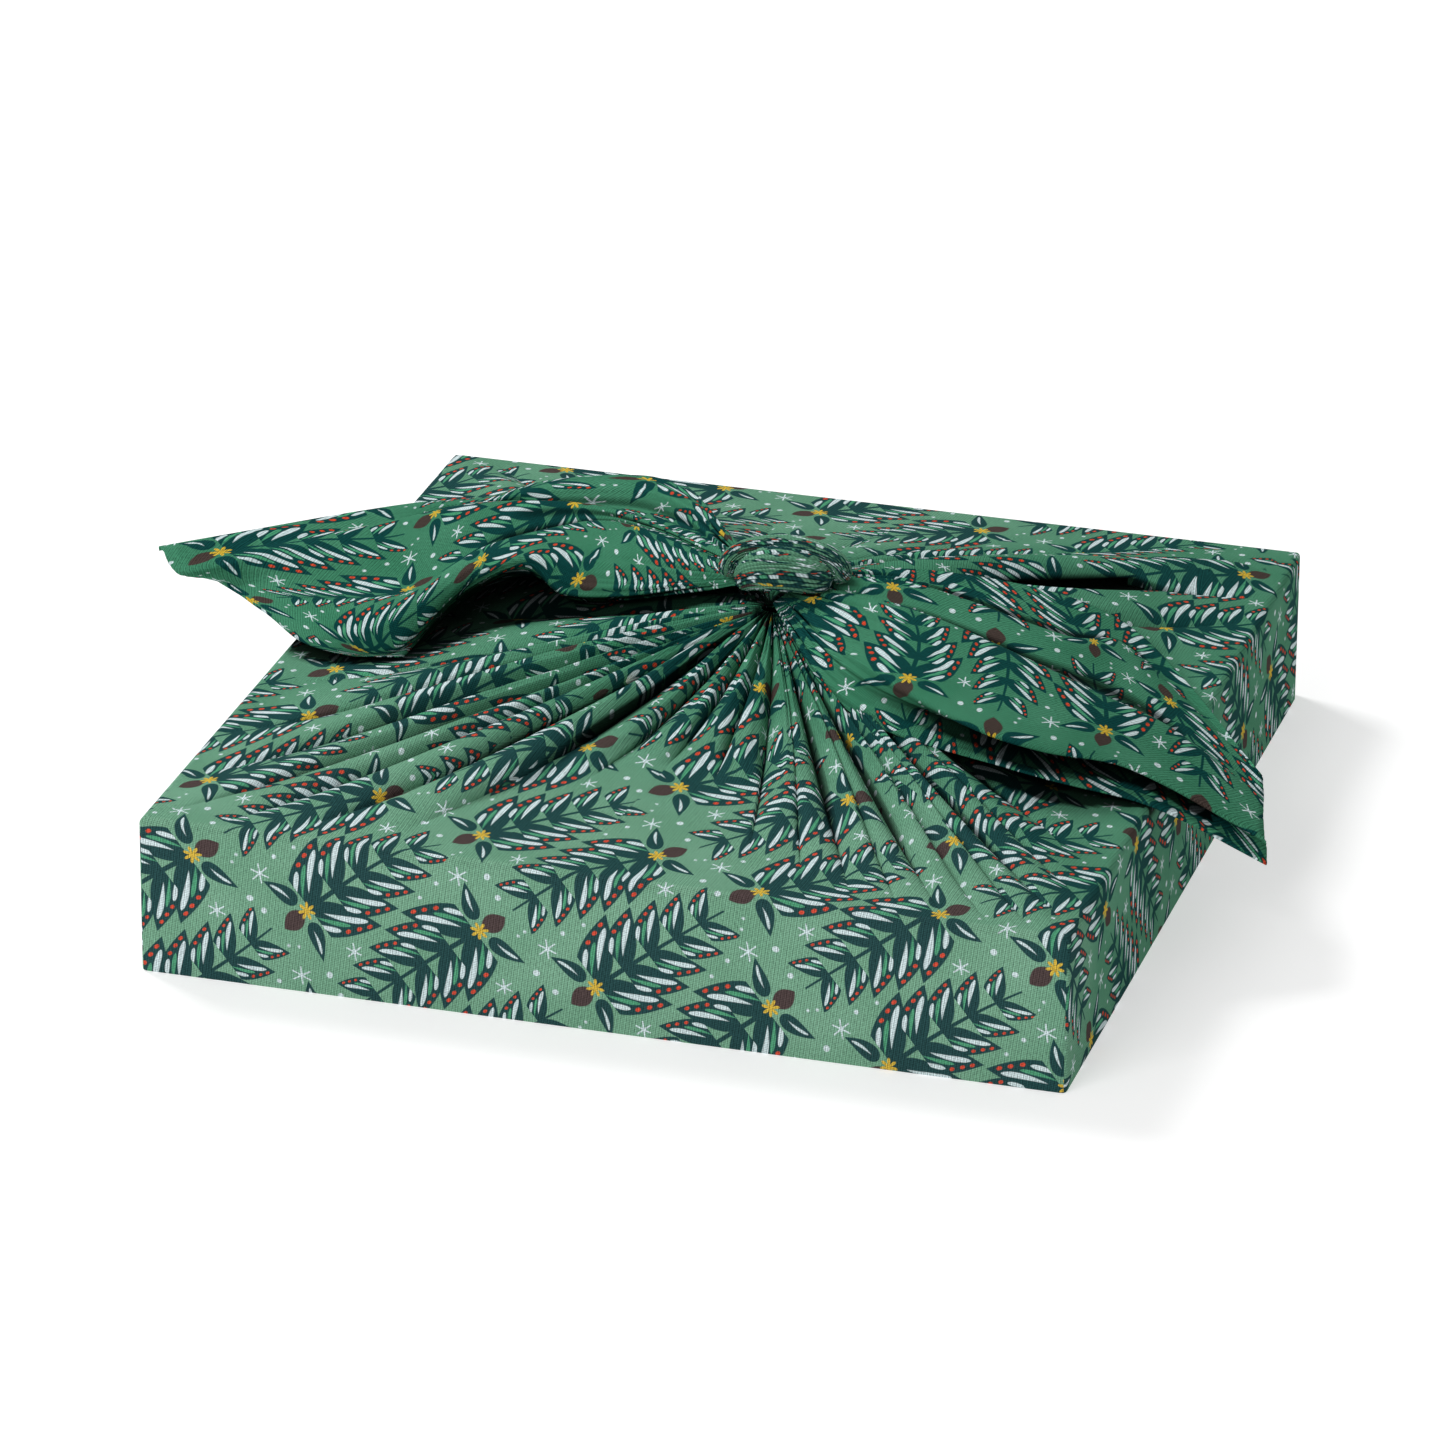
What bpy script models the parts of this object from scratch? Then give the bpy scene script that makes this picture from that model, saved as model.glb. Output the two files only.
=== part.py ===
"""Furoshiki wrap: a square of cloth knotted over a shallow gift carton.

Lengths are metres. +X runs along the long front edge, +Y goes to the back, and +Z is up. The origin
is the middle of the flat underside.
"""
import math
from collections import namedtuple

import bmesh
import bpy
import numpy as np

MM = 0.001

# Wrapped parcel
LENGTH = 0.3300
DEPTH = 0.3525
HEIGHT = 0.0585
CORNER_RADIUS = 0.0040
TOP_EDGE_RADIUS = 0.0030
BOTTOM_EDGE_RADIUS = 0.0020
CLOTH_THICKNESS = 0.0016

# Carton inside the cloth
CARTON_CLEARANCE = 0.0022
CARTON_UNDER_GAP = 0.0004
CARTON_EDGE = 0.0010

# Place where all folds meet under the knot
FOOT_X = 0.0120
FOOT_Y = 0.0030
FOOT_RADIUS = 0.0090
FOOT_RISE = 0.0300
TENT_POWER = 1.40
FOOT_RELIEF = 0.0025
FOLD_BEND = 0.70
INNER_RELIEF_SHARE = 0.50

# Rows of the top from the knot out to the edge, as shares of the way
TOP_ROWS = (0.0, 0.05, 0.12, 0.21, 0.32, 0.44, 0.56, 0.68, 0.80, 0.91, 1.0)
EDGE_STEPS = 2
RIDGE_HALF_SHARE = 0.18

# Dark opening between the back roll and the right side layer
OPENING_START = 0.31
OPENING_END = 0.81

# Ridges of the gathered top, in order round the knot from the right edge. edge_deg is where a ridge
# meets the edge as seen from the knot, foot_deg is where it leaves the knot, rise is its height in
# mm, and fade is the share of the way where it has run out.
Ridge = namedtuple("Ridge", "edge_deg foot_deg rise fade")
RIDGES = (
    Ridge(10, 4, 3.0, 0.90),
    Ridge(25, 15, 3.5, 0.92),
    Ridge(35, 25, 4.0, 0.97),
    Ridge(42, 36, 5.0, 1.00),
    Ridge(51, 50, 8.0, 1.00),
    Ridge(58, 61, 6.0, 0.95),
    Ridge(68, 72, 4.0, 0.90),
    Ridge(84, 84, 2.5, 0.85),
    Ridge(106, 97, 2.5, 0.85),
    Ridge(123, 110, 3.5, 0.92),
    Ridge(132, 121, 5.0, 0.98),
    Ridge(139, 131, 5.0, 0.98),
    Ridge(149, 142, 4.0, 0.92),
    Ridge(168, 153, 3.0, 0.88),
    Ridge(190, 165, 3.0, 0.88),
    Ridge(205, 170, 7.0, 0.97),
    Ridge(212, 181, 9.5, 1.00),
    Ridge(217, 191, 7.5, 1.00),
    Ridge(222, 200, 7.5, 1.00),
    Ridge(228, 210, 9.5, 1.00),
    Ridge(236, 220, 9.5, 0.95),
    Ridge(246, 231, 7.0, 0.82),
    Ridge(257, 243, 6.0, 0.72),
    Ridge(270, 257, 4.0, 0.68),
    Ridge(281, 269, 5.0, 0.72),
    Ridge(289, 279, 7.0, 0.94),
    Ridge(295, 288, 5.5, 0.90),
    Ridge(300, 297, 6.5, 0.96),
    Ridge(305, 306, 6.0, 1.00),
    Ridge(310, 315, 6.5, 1.00),
    Ridge(316, 325, 5.5, 0.98),
    Ridge(324, 335, 4.5, 0.94),
    Ridge(337, 345, 3.5, 0.90),
    Ridge(354, 355, 3.0, 0.88),
)
OPENING_AFTER_RIDGE = 3

# Fold lines of the two ears, from the far side to the near side. Each line passes three stations and
# ends at the raw hem. A station is its heading from the knot in degrees, its reach from the knot in
# mm, and its height over the carton's top in mm. The turned and front valleys lie hidden under their
# folds.
FoldLine = namedtuple("FoldLine", "name near_head near_reach near_up bend_head bend_reach bend_up "
                                  "mid_head mid_reach mid_up hem_head hem_reach hem_up")
LEFT_EAR = (
    FoldLine("far edge", 127, 138, 25, 139, 168, 21, 154, 182, 18, 179, 239, 20),
    FoldLine("far lobe", 130, 124, 29, 142, 155, 26, 156, 173, 23, 181, 236, 21),
    FoldLine("first valley", 135, 115, 24, 147, 146, 20, 159, 166, 17, 182, 231, 17),
    FoldLine("middle ridge", 142, 108, 30, 153, 135, 28, 163, 160, 24, 184, 221, 19),
    FoldLine("second valley", 148, 101, 26, 158, 127, 21, 169, 146, 17, 183, 209, 14),
    FoldLine("near ridge", 158, 90, 36, 168, 109, 33, 180, 130, 26, 185, 191, 10),
    FoldLine("near fall", 166, 81, 33, 175, 104, 31, 187, 126, 22, 190, 175, 6),
    FoldLine("near curl", 173, 76, 27, 178, 98, 26, 190, 118, 18, 194, 156, 6),
    FoldLine("near edge", 179, 72, 21, 182, 90, 19, 193, 111, 12, 200, 140, 8),
)
RIGHT_EAR = (
    FoldLine("far edge", 43, 51, 34, 32, 96, 25, 20, 135, 10, 355, 179, -6),
    FoldLine("turned valley", 28, 45, 36, 12, 91, 22, 11, 131, 9, 353, 182, -8),
    FoldLine("turned fold", 12, 44, 37, 9, 91, 27, 11, 130, 14, 352, 183, -7),
    FoldLine("broad far", 348, 50, 37, 350, 96, 28, 355, 135, 14, 349, 187, -10),
    FoldLine("broad near", 326, 64, 36, 330, 115, 28, 343, 147, 13, 347, 190, -12),
    FoldLine("front fold", 310, 74, 34, 321, 129, 26, 336, 154, 13, 346, 194, -15),
    FoldLine("front valley", 307, 75, 28, 326, 119, 16, 338, 151, 6, 345, 196, -18),
    FoldLine("front edge", 304, 76, 22, 325, 131, 10, 335, 168, 1, 343, 200, -21),
)
EAR_THICKNESS = 0.0015
EAR_ACROSS = 2
EAR_ALONG = 12
EAR_CLEARANCE = 0.0030
LEFT_ROOT_FAR = (0.002, 0.009, 0.1010)
LEFT_ROOT_NEAR = (0.001, 0.001, 0.0955)
RIGHT_ROOT_FAR = (0.024, 0.009, 0.0985)
RIGHT_ROOT_NEAR = (0.013, -0.006, 0.0920)

# Knot: a core and two pleated bands. A band passes its stations in turn, each a place in mm from
# the knot's middle with the band's half width and half thickness there.
KNOT_MIDDLE = (0.0150, 0.0030, 0.1020)
CORE_LIFT = -0.0080
CORE_RADII = (0.0180, 0.0120, 0.0130)
CORE_RINGS = 8
CORE_SIDES = 14
Station = namedtuple("Station", "x y z half_width half_thick")
FRONT_BAND = (
    Station(-13, -1, 5, 5.5, 4.5),
    Station(-6, -7, 5, 7.5, 5.0),
    Station(2, -9, 2, 8.0, 5.5),
    Station(9, -7, -2, 7.5, 5.0),
    Station(14, -1, -4, 5.5, 4.5),
)
BACK_LOOP = (
    Station(-21, -4, -4, 4.0, 3.5),
    Station(-19, -1, 2, 6.5, 4.0),
    Station(-10, 3, 5, 8.5, 4.5),
    Station(5, 4, 6, 9.0, 4.5),
    Station(17, 3, 3, 7.5, 4.0),
    Station(22, 1, -3, 5.0, 3.5),
)
BAND_PLEATS = 7
BAND_PLEAT_DEPTH = 0.10
BAND_SIDES = 28
BAND_STEPS = 10

CLOTH_COLOUR = (0.08, 0.30, 0.15, 1.0)
CARTON_COLOUR = (0.42, 0.29, 0.18, 1.0)


def rim_distance(angle, inset):
    """Distance from the fold centre to the parcel's rounded rectangle, drawn in by inset."""
    half_x = 0.5 * LENGTH - inset
    half_y = 0.5 * DEPTH - inset
    radius = max(CORNER_RADIUS - inset, 0.0006)
    run_x = math.cos(angle)
    run_y = math.sin(angle)
    wall_x = math.copysign(half_x, run_x)
    wall_y = math.copysign(half_y, run_y)
    reach_x = (wall_x - FOOT_X) / run_x if abs(run_x) > 1e-9 else math.inf
    reach_y = (wall_y - FOOT_Y) / run_y if abs(run_y) > 1e-9 else math.inf
    reach = min(reach_x, reach_y)
    hit_x = FOOT_X + reach * run_x
    hit_y = FOOT_Y + reach * run_y
    if abs(hit_x) > half_x - radius and abs(hit_y) > half_y - radius:
        to_x = math.copysign(half_x - radius, run_x) - FOOT_X
        to_y = math.copysign(half_y - radius, run_y) - FOOT_Y
        along = to_x * run_x + to_y * run_y
        aside = to_x * run_y - to_y * run_x
        reach = along + math.sqrt(max(radius ** 2 - aside ** 2, 0.0))
    return reach


def ridge_value(column, field):
    """A ridge field at a fractional column, with whole turns added past the last ridge."""
    count = len(RIDGES)
    index = math.floor(column)
    share = column - index

    def at(number):
        turns, local = divmod(number, count)
        value = getattr(RIDGES[local], field)
        return value + 360.0 * turns if field.endswith("_deg") else value

    return (1.0 - share) * at(index) + share * at(index + 1)


def opening_column(column, way):
    """Draw the columns that flank the opening together at both of its ends."""
    middle = OPENING_AFTER_RIDGE + 0.5
    offset = column - middle
    if abs(offset) > 0.5 - RIDGE_HALF_SHARE + 1e-6:
        return column
    share = (way - OPENING_START) / (OPENING_END - OPENING_START)
    spread = math.sin(math.pi * min(max(share, 0.0), 1.0))
    if 0.0 <= share <= 1.0:
        return middle + offset * (0.35 + 0.85 * spread)
    return column


def fold_angle(column, way):
    """Heading from the fold centre of one column at a share of the way to the edge."""
    place = opening_column(column, way)
    edge = ridge_value(place, "edge_deg")
    foot = ridge_value(place, "foot_deg")
    return math.radians(foot + (edge - foot) * way ** FOLD_BEND)


def fold_relief(column, way):
    """Height of the pleats over the smooth tent."""
    offset = column - round(column)
    crest = max(0.0, 1.0 - max(0.0, abs(offset) - RIDGE_HALF_SHARE) / (0.5 - RIDGE_HALF_SHARE))
    rise = ridge_value(column, "rise") * MM
    fade = ridge_value(column, "fade")
    grow = min(way / 0.35, 1.0)
    body = FOOT_RELIEF + (rise - FOOT_RELIEF) * math.sin(0.5 * math.pi * grow)
    left = min(max((fade - way) / (fade - 0.45), 0.0), 1.0)
    return crest * body * math.sin(0.5 * math.pi * left) ** 1.2


def top_point(column, way, inner):
    """A point of the gathered top, on the outer face or on the inner one."""
    angle = fold_angle(column, way)
    rim = rim_distance(angle, TOP_EDGE_RADIUS + (CLOTH_THICKNESS if inner else 0.0))
    reach = FOOT_RADIUS + (rim - FOOT_RADIUS) * way
    height = HEIGHT + FOOT_RISE * (1.0 - way) ** TENT_POWER
    relief = fold_relief(column, way)
    if inner:
        height += INNER_RELIEF_SHARE * relief - CLOTH_THICKNESS
    else:
        height += relief
    return (FOOT_X + reach * math.cos(angle), FOOT_Y + reach * math.sin(angle), height)


def side_point(column, inset, height):
    """A point of the wall or underside below one column."""
    angle = fold_angle(column, 1.0)
    reach = rim_distance(angle, inset)
    return (FOOT_X + reach * math.cos(angle), FOOT_Y + reach * math.sin(angle), height)


def body_columns():
    """Fractional ridge numbers of the mesh columns, with extra ones at the parcel's corners."""
    columns = []
    for index in range(len(RIDGES)):
        columns += [index - RIDGE_HALF_SHARE, index + RIDGE_HALF_SHARE, index + 0.5]
    fine = np.linspace(-0.5, len(RIDGES) - 0.5, 4001)
    angles = np.array([math.degrees(fold_angle(value, 1.0)) for value in fine])
    for side_x, side_y in ((1, 1), (-1, 1), (-1, -1), (1, -1)):
        to_x = side_x * 0.5 * LENGTH - FOOT_X
        to_y = side_y * 0.5 * DEPTH - FOOT_Y
        corner = math.degrees(math.atan2(to_y, to_x)) % 360.0
        for turn in (-1.1, 0.0, 1.1):
            wanted = float(np.interp(corner + turn, angles, fine))
            columns = [value for value in columns if abs(value - wanted) > 0.11]
            columns.append(wanted)
    return sorted(columns)


def body_rows(column, inner):
    """One column of the wrap, from the knot over the edge and down to the underside."""
    depth = CLOTH_THICKNESS if inner else 0.0
    points = [top_point(column, way, inner) for way in TOP_ROWS]
    for step in range(1, EDGE_STEPS + 1):
        turn = 0.5 * math.pi * step / EDGE_STEPS
        inset = TOP_EDGE_RADIUS * (1.0 - math.sin(turn)) + depth
        drop = TOP_EDGE_RADIUS * (1.0 - math.cos(turn)) + depth
        points.append(side_point(column, inset, HEIGHT - drop))
    points.append(side_point(column, depth, BOTTOM_EDGE_RADIUS + depth))
    points.append(side_point(column, BOTTOM_EDGE_RADIUS + depth, depth))
    points.append(side_point(column, 0.25 * LENGTH, depth))
    return points


def is_open(column, next_column, way, next_way):
    """Whether a cell of the top lies in the opening beside the back roll."""
    middle = OPENING_AFTER_RIDGE + 0.5
    half = 0.5 - RIDGE_HALF_SHARE + 0.01
    between = middle - half < column and next_column < middle + half
    return between and way > OPENING_START and next_way < OPENING_END


def wrap_body():
    """The sheet round the carton: gathered top, walls and underside, as one closed solid."""
    columns = body_columns()
    count = len(columns)
    mesh = bmesh.new()
    faces_of = []
    for inner in (False, True):
        grid = [[mesh.verts.new(point) for point in body_rows(column, inner)] for column in columns]
        middle = mesh.verts.new((0.0, 0.0, CLOTH_THICKNESS if inner else 0.0))
        faces_of.append((grid, middle))
    rows = len(faces_of[0][0][0])
    open_cells = set()
    for index in range(count - 1):
        for row in range(len(TOP_ROWS) - 1):
            if is_open(columns[index], columns[index + 1], TOP_ROWS[row], TOP_ROWS[row + 1]):
                open_cells.add((index, row))
    for inner, (grid, middle) in enumerate(faces_of):
        for index in range(count):
            here = grid[index]
            after = grid[(index + 1) % count]
            for row in range(rows - 1):
                if (index, row) in open_cells:
                    continue
                corners = [here[row], here[row + 1], after[row + 1], after[row]]
                mesh.faces.new(corners[::-1] if inner else corners)
            corners = [here[-1], middle, after[-1]]
            mesh.faces.new(corners[::-1] if inner else corners)
    bmesh.ops.bridge_loops(mesh, edges=foot_edges(faces_of))
    close_opening(mesh, faces_of, open_cells)
    bmesh.ops.delete(mesh, geom=[vert for vert in mesh.verts if not vert.link_faces], context="VERTS")
    bmesh.ops.recalc_face_normals(mesh, faces=mesh.faces)
    return mesh_object("wrap body", mesh)


def foot_edges(faces_of):
    """The open edges round the knot's foot, on both faces of the sheet."""
    edges = []
    for grid, _ in faces_of:
        ring = {column[0] for column in grid}
        edges += [edge for edge in {edge for vert in ring for edge in vert.link_edges}
                  if edge.verts[0] in ring and edge.verts[1] in ring]
    return edges


def close_opening(mesh, faces_of, open_cells):
    """Join the two faces of the sheet round the rim of the opening."""
    outer = faces_of[0][0]
    inner = faces_of[1][0]
    sides = {}
    for index, row in open_cells:
        ring = [(index, row), (index, row + 1), (index + 1, row + 1), (index + 1, row)]
        for start, end in zip(ring, ring[1:] + ring[:1]):
            if (end, start) in sides:
                del sides[(end, start)]
            else:
                sides[(start, end)] = True
    for start, end in sides:
        mesh.faces.new((outer[start[0]][start[1]], outer[end[0]][end[1]],
                        inner[end[0]][end[1]], inner[start[0]][start[1]]))


def curve_point(near, share):
    """A point of an even curve through the middle two of four neighbours."""
    marks = [0.0]
    for start, end in zip(near, near[1:]):
        marks.append(marks[-1] + max(np.linalg.norm(end - start), 1e-9) ** 0.5)
    place = marks[1] + (marks[2] - marks[1]) * share

    def between(low, high, start, end):
        part = (place - marks[low]) / (marks[high] - marks[low])
        return start + (end - start) * part

    first = between(0, 1, near[0], near[1])
    second = between(1, 2, near[1], near[2])
    third = between(2, 3, near[2], near[3])
    return between(1, 2, between(0, 2, first, second), between(1, 3, second, third))


def smooth_line(knots, shares):
    """Points of a smooth curve through evenly numbered knots at the given shares."""
    knots = np.array(knots, float)
    padded = np.vstack([2 * knots[0] - knots[1], knots, 2 * knots[-1] - knots[-2]])
    points = []
    for share in shares:
        place = share * (len(knots) - 1)
        index = min(int(place), len(knots) - 2)
        points.append(curve_point(padded[index:index + 4], place - index))
    return np.array(points)


def ground_height(x, y):
    """Height of the pleats' crests under a point, or a low value beyond the parcel."""
    angle = math.atan2(y - FOOT_Y, x - FOOT_X)
    reach = math.hypot(x - FOOT_X, y - FOOT_Y)
    rim = rim_distance(angle, 0.0)
    if reach > rim + EAR_CLEARANCE:
        return 0.0
    way = min(max((reach - FOOT_RADIUS) / (rim - FOOT_RADIUS), 0.0), 1.0)
    edges = [ridge.edge_deg + (ridge.foot_deg - ridge.edge_deg) * (1.0 - way ** FOLD_BEND)
             for ridge in RIDGES]
    turned = (math.degrees(angle) - edges[0]) % 360.0
    column = float(np.interp(turned, [edge - edges[0] for edge in edges] + [360.0],
                             range(len(RIDGES) + 1)))
    tent = HEIGHT + FOOT_RISE * (1.0 - way) ** TENT_POWER
    return tent + max(fold_relief(column, way), fold_relief(round(column), way))


def ear_grid(lines, root_far, root_near):
    """Rows of points across an ear, from the knot out to its raw hem."""
    count = len(lines)
    tracks = []
    for index, line in enumerate(lines):
        share = index / (count - 1)
        root = [far + (near - far) * share for far, near in zip(root_far, root_near)]
        knots = [root]
        for head, reach, up in (line[1:4], line[4:7], line[7:10], line[10:13]):
            turn = math.radians(head)
            knots.append([KNOT_MIDDLE[0] + reach * MM * math.cos(turn),
                          KNOT_MIDDLE[1] + reach * MM * math.sin(turn), HEIGHT + up * MM])
        tracks.append(smooth_line(knots, np.linspace(0.0, 1.0, EAR_ALONG)))
    shares = np.linspace(0.0, 1.0, EAR_ACROSS * (count - 1) + 1)
    grid = [smooth_line([track[step] for track in tracks], shares) for step in range(EAR_ALONG)]
    for step, points in enumerate(grid):
        if step < 2:
            continue
        for point in points:
            point[2] = max(point[2], ground_height(point[0], point[1]) + EAR_CLEARANCE)
    return np.array(grid)


def sheet_solid(name, grid, thickness):
    """A closed sheet of even thickness on a grid of points."""
    along, across, _ = grid.shape
    run = np.gradient(grid, axis=0)
    side = np.gradient(grid, axis=1)
    normal = np.cross(run, side)
    normal /= np.maximum(np.linalg.norm(normal, axis=2, keepdims=True), 1e-9)
    mesh = bmesh.new()
    upper = grid + 0.5 * thickness * normal
    lower = grid - 0.5 * thickness * normal
    top = [[mesh.verts.new(point) for point in row] for row in upper]
    base = [[mesh.verts.new(point) for point in row] for row in lower]
    for i in range(along - 1):
        for j in range(across - 1):
            mesh.faces.new((top[i][j], top[i + 1][j], top[i + 1][j + 1], top[i][j + 1]))
            mesh.faces.new((base[i][j], base[i][j + 1], base[i + 1][j + 1], base[i + 1][j]))
    rim = [(i, 0) for i in range(along)] + [(along - 1, j) for j in range(1, across)]
    rim += [(i, across - 1) for i in range(along - 2, -1, -1)]
    rim += [(0, j) for j in range(across - 2, 0, -1)]
    for (i, j), (k, m) in zip(rim, rim[1:] + rim[:1]):
        mesh.faces.new((top[i][j], top[k][m], base[k][m], base[i][j]))
    bmesh.ops.recalc_face_normals(mesh, faces=mesh.faces)
    return mesh_object(name, mesh)


def knot_band(name, stations):
    """One pleated band of the knot, swept along its stations."""
    middle = np.array(KNOT_MIDDLE)
    shares = np.linspace(0.0, 1.0, BAND_STEPS)
    path = middle + smooth_line([station[:3] for station in stations], shares) * MM
    sizes = smooth_line([station[3:] for station in stations], shares) * MM
    run = np.gradient(path, axis=0)
    run /= np.linalg.norm(run, axis=1, keepdims=True)
    mesh = bmesh.new()
    rings = []
    for step in range(BAND_STEPS):
        out = path[step] - (middle + np.array((0.0, 0.0, CORE_LIFT)))
        out -= run[step] * np.dot(out, run[step])
        out /= np.linalg.norm(out)
        wide = np.cross(run[step], out)
        ring = []
        for side in range(BAND_SIDES):
            turn = 2.0 * math.pi * side / BAND_SIDES
            pleat = 1.0 + BAND_PLEAT_DEPTH * math.cos(2 * BAND_PLEATS * turn)
            place = (path[step] + wide * sizes[step][0] * pleat * math.cos(turn)
                     + out * sizes[step][1] * pleat * math.sin(turn))
            ring.append(mesh.verts.new(place))
        rings.append(ring)
    for ring, after in zip(rings, rings[1:]):
        for side in range(BAND_SIDES):
            follow = (side + 1) % BAND_SIDES
            mesh.faces.new((ring[side], ring[follow], after[follow], after[side]))
    for ring, place in ((rings[0], path[0]), (rings[-1], path[-1])):
        centre = mesh.verts.new(place)
        for side in range(BAND_SIDES):
            mesh.faces.new((ring[side], ring[(side + 1) % BAND_SIDES], centre))
    bmesh.ops.recalc_face_normals(mesh, faces=mesh.faces)
    return mesh_object(name, mesh)


def knot_core():
    """The bunched cloth inside the knot, which closes the gathered top's foot."""
    mesh = bmesh.new()
    bmesh.ops.create_uvsphere(mesh, u_segments=CORE_SIDES, v_segments=CORE_RINGS, radius=1.0)
    centre_z = KNOT_MIDDLE[2] + CORE_LIFT
    for vert in mesh.verts:
        vert.co.x = KNOT_MIDDLE[0] + CORE_RADII[0] * vert.co.x
        vert.co.y = KNOT_MIDDLE[1] + CORE_RADII[1] * vert.co.y
        vert.co.z = centre_z + CORE_RADII[2] * vert.co.z
    return mesh_object("knot core", mesh)


def mesh_object(name, mesh):
    """Turn a working mesh into an object of the scene."""
    data = bpy.data.meshes.new(name)
    mesh.to_mesh(data)
    mesh.free()
    item = bpy.data.objects.new(name, data)
    bpy.context.scene.collection.objects.link(item)
    return item


def join_solid(target, other):
    """Unite another closed solid with the target and remove it."""
    modifier = target.modifiers.new("join", "BOOLEAN")
    modifier.operation = "UNION"
    modifier.solver = "EXACT"
    modifier.object = other
    graph = bpy.context.evaluated_depsgraph_get()
    joined = bpy.data.meshes.new_from_object(target.evaluated_get(graph))
    target.modifiers.remove(modifier)
    target.data = joined
    bpy.data.objects.remove(other, do_unlink=True)


def drop_pockets(item):
    """Remove the small closed pockets that are left between the knot's bands."""
    mesh = bmesh.new()
    mesh.from_mesh(item.data)
    left = set(mesh.verts)
    shells = []
    while left:
        reached = [left.pop()]
        shell = []
        while reached:
            vert = reached.pop()
            shell.append(vert)
            near = {edge.other_vert(vert) for edge in vert.link_edges} & left
            left -= near
            reached += near
        shells.append(shell)
    shells.sort(key=len)
    spare = [vert for shell in shells[:-1] for vert in shell]
    bmesh.ops.delete(mesh, geom=spare, context="VERTS")
    mesh.to_mesh(item.data)
    mesh.free()


def finish(item, name, colour, roughness, smooth):
    """Name a node and give it its own material."""
    item.name = name
    item.data.name = name
    material = bpy.data.materials.new(name)
    material.use_nodes = True
    shader = material.node_tree.nodes["Principled BSDF"]
    shader.inputs["Base Color"].default_value = colour
    shader.inputs["Roughness"].default_value = roughness
    item.data.materials.clear()
    item.data.materials.append(material)
    item.data.polygons.foreach_set("use_smooth", [smooth] * len(item.data.polygons))


def build_cloth():
    """The whole square of cloth in its wrapped and knotted form."""
    cloth = wrap_body()
    join_solid(cloth, knot_core())
    join_solid(cloth, knot_band("back loop", BACK_LOOP))
    join_solid(cloth, knot_band("front band", FRONT_BAND))
    left = ear_grid(LEFT_EAR, LEFT_ROOT_FAR, LEFT_ROOT_NEAR)
    right = ear_grid(RIGHT_EAR, RIGHT_ROOT_FAR, RIGHT_ROOT_NEAR)
    join_solid(cloth, sheet_solid("left ear", left, EAR_THICKNESS))
    join_solid(cloth, sheet_solid("right ear", right, EAR_THICKNESS))
    drop_pockets(cloth)
    finish(cloth, "cloth", CLOTH_COLOUR, 0.85, True)


def build_carton():
    """The plain carton that the cloth is wrapped round."""
    side = CLOTH_THICKNESS + CARTON_CLEARANCE
    low = CLOTH_THICKNESS + CARTON_UNDER_GAP
    high = HEIGHT - CLOTH_THICKNESS - CARTON_CLEARANCE
    mesh = bmesh.new()
    bmesh.ops.create_cube(mesh, size=1.0)
    for vert in mesh.verts:
        vert.co.x *= LENGTH - 2.0 * side
        vert.co.y *= DEPTH - 2.0 * side
        vert.co.z = 0.5 * (low + high) + vert.co.z * (high - low)
    bmesh.ops.bevel(mesh, geom=mesh.edges[:], offset=CARTON_EDGE, segments=1, affect="EDGES")
    carton = mesh_object("carton", mesh)
    finish(carton, "carton", CARTON_COLOUR, 0.9, False)


def main():
    for item in list(bpy.data.objects):
        bpy.data.objects.remove(item, do_unlink=True)
    build_cloth()
    build_carton()


main()
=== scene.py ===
"""Dressed scene of a furoshiki wrap: a printed square of cloth knotted over a shallow gift carton.

Lengths are metres. +X runs along the long front edge, +Y goes to the back, and +Z is up.
"""
import logging
import math
from dataclasses import dataclass, field
from enum import Enum

import bpy
import numpy as np
from mathutils import Matrix, Vector
from mathutils.bvhtree import BVHTree


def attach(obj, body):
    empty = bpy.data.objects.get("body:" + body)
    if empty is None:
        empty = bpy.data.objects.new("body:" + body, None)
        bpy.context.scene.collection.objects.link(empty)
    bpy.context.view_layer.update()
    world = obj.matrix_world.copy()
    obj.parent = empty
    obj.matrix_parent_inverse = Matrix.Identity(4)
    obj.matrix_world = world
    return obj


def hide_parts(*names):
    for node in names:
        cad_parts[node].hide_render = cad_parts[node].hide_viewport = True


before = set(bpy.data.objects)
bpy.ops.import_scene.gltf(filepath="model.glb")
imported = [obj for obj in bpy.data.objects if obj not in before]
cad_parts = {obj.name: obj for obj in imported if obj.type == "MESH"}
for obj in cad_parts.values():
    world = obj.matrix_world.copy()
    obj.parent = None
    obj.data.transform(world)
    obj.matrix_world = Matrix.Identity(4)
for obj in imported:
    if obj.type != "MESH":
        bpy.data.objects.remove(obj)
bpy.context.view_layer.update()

LOG = logging.getLogger("furoshiki")
MM = 0.001
BODY = "root"
CLOTH_NODE = "cloth"
CARTON_NODE = "carton"
PRINT_MAP = "print"
# Point mark of painted shade, which darkens the cloth's colour where it is low.
PAINTED_SHADE_MARK = "painted_shade_factor"
STRETCH_AND_SHEEN_MARK = "stretch_and_sheen"
GOLDEN_TURN = 2.399963
WHITE = (1.0, 1.0, 1.0, 1.0)

Array = np.ndarray
FoldRow = tuple[float, float, float, float, float]
Colour = tuple[float, float, float, float]
Spot = tuple[float, float, float]
Piece = bpy.types.Object
Tree = bpy.types.NodeTree
Socket = bpy.types.NodeSocket


def smooth_step(low: float, high: float, value: Array) -> Array:
    """An even rise from 0 at low to 1 at high.

    Args:
        low: value where the rise starts.
        high: value where it ends.
        value: the values to map.

    Returns:
        The share of the rise at each value.
    """
    share = np.clip((value - low) / (high - low), 0.0, 1.0)
    return share * share * (3.0 - 2.0 * share)


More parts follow.
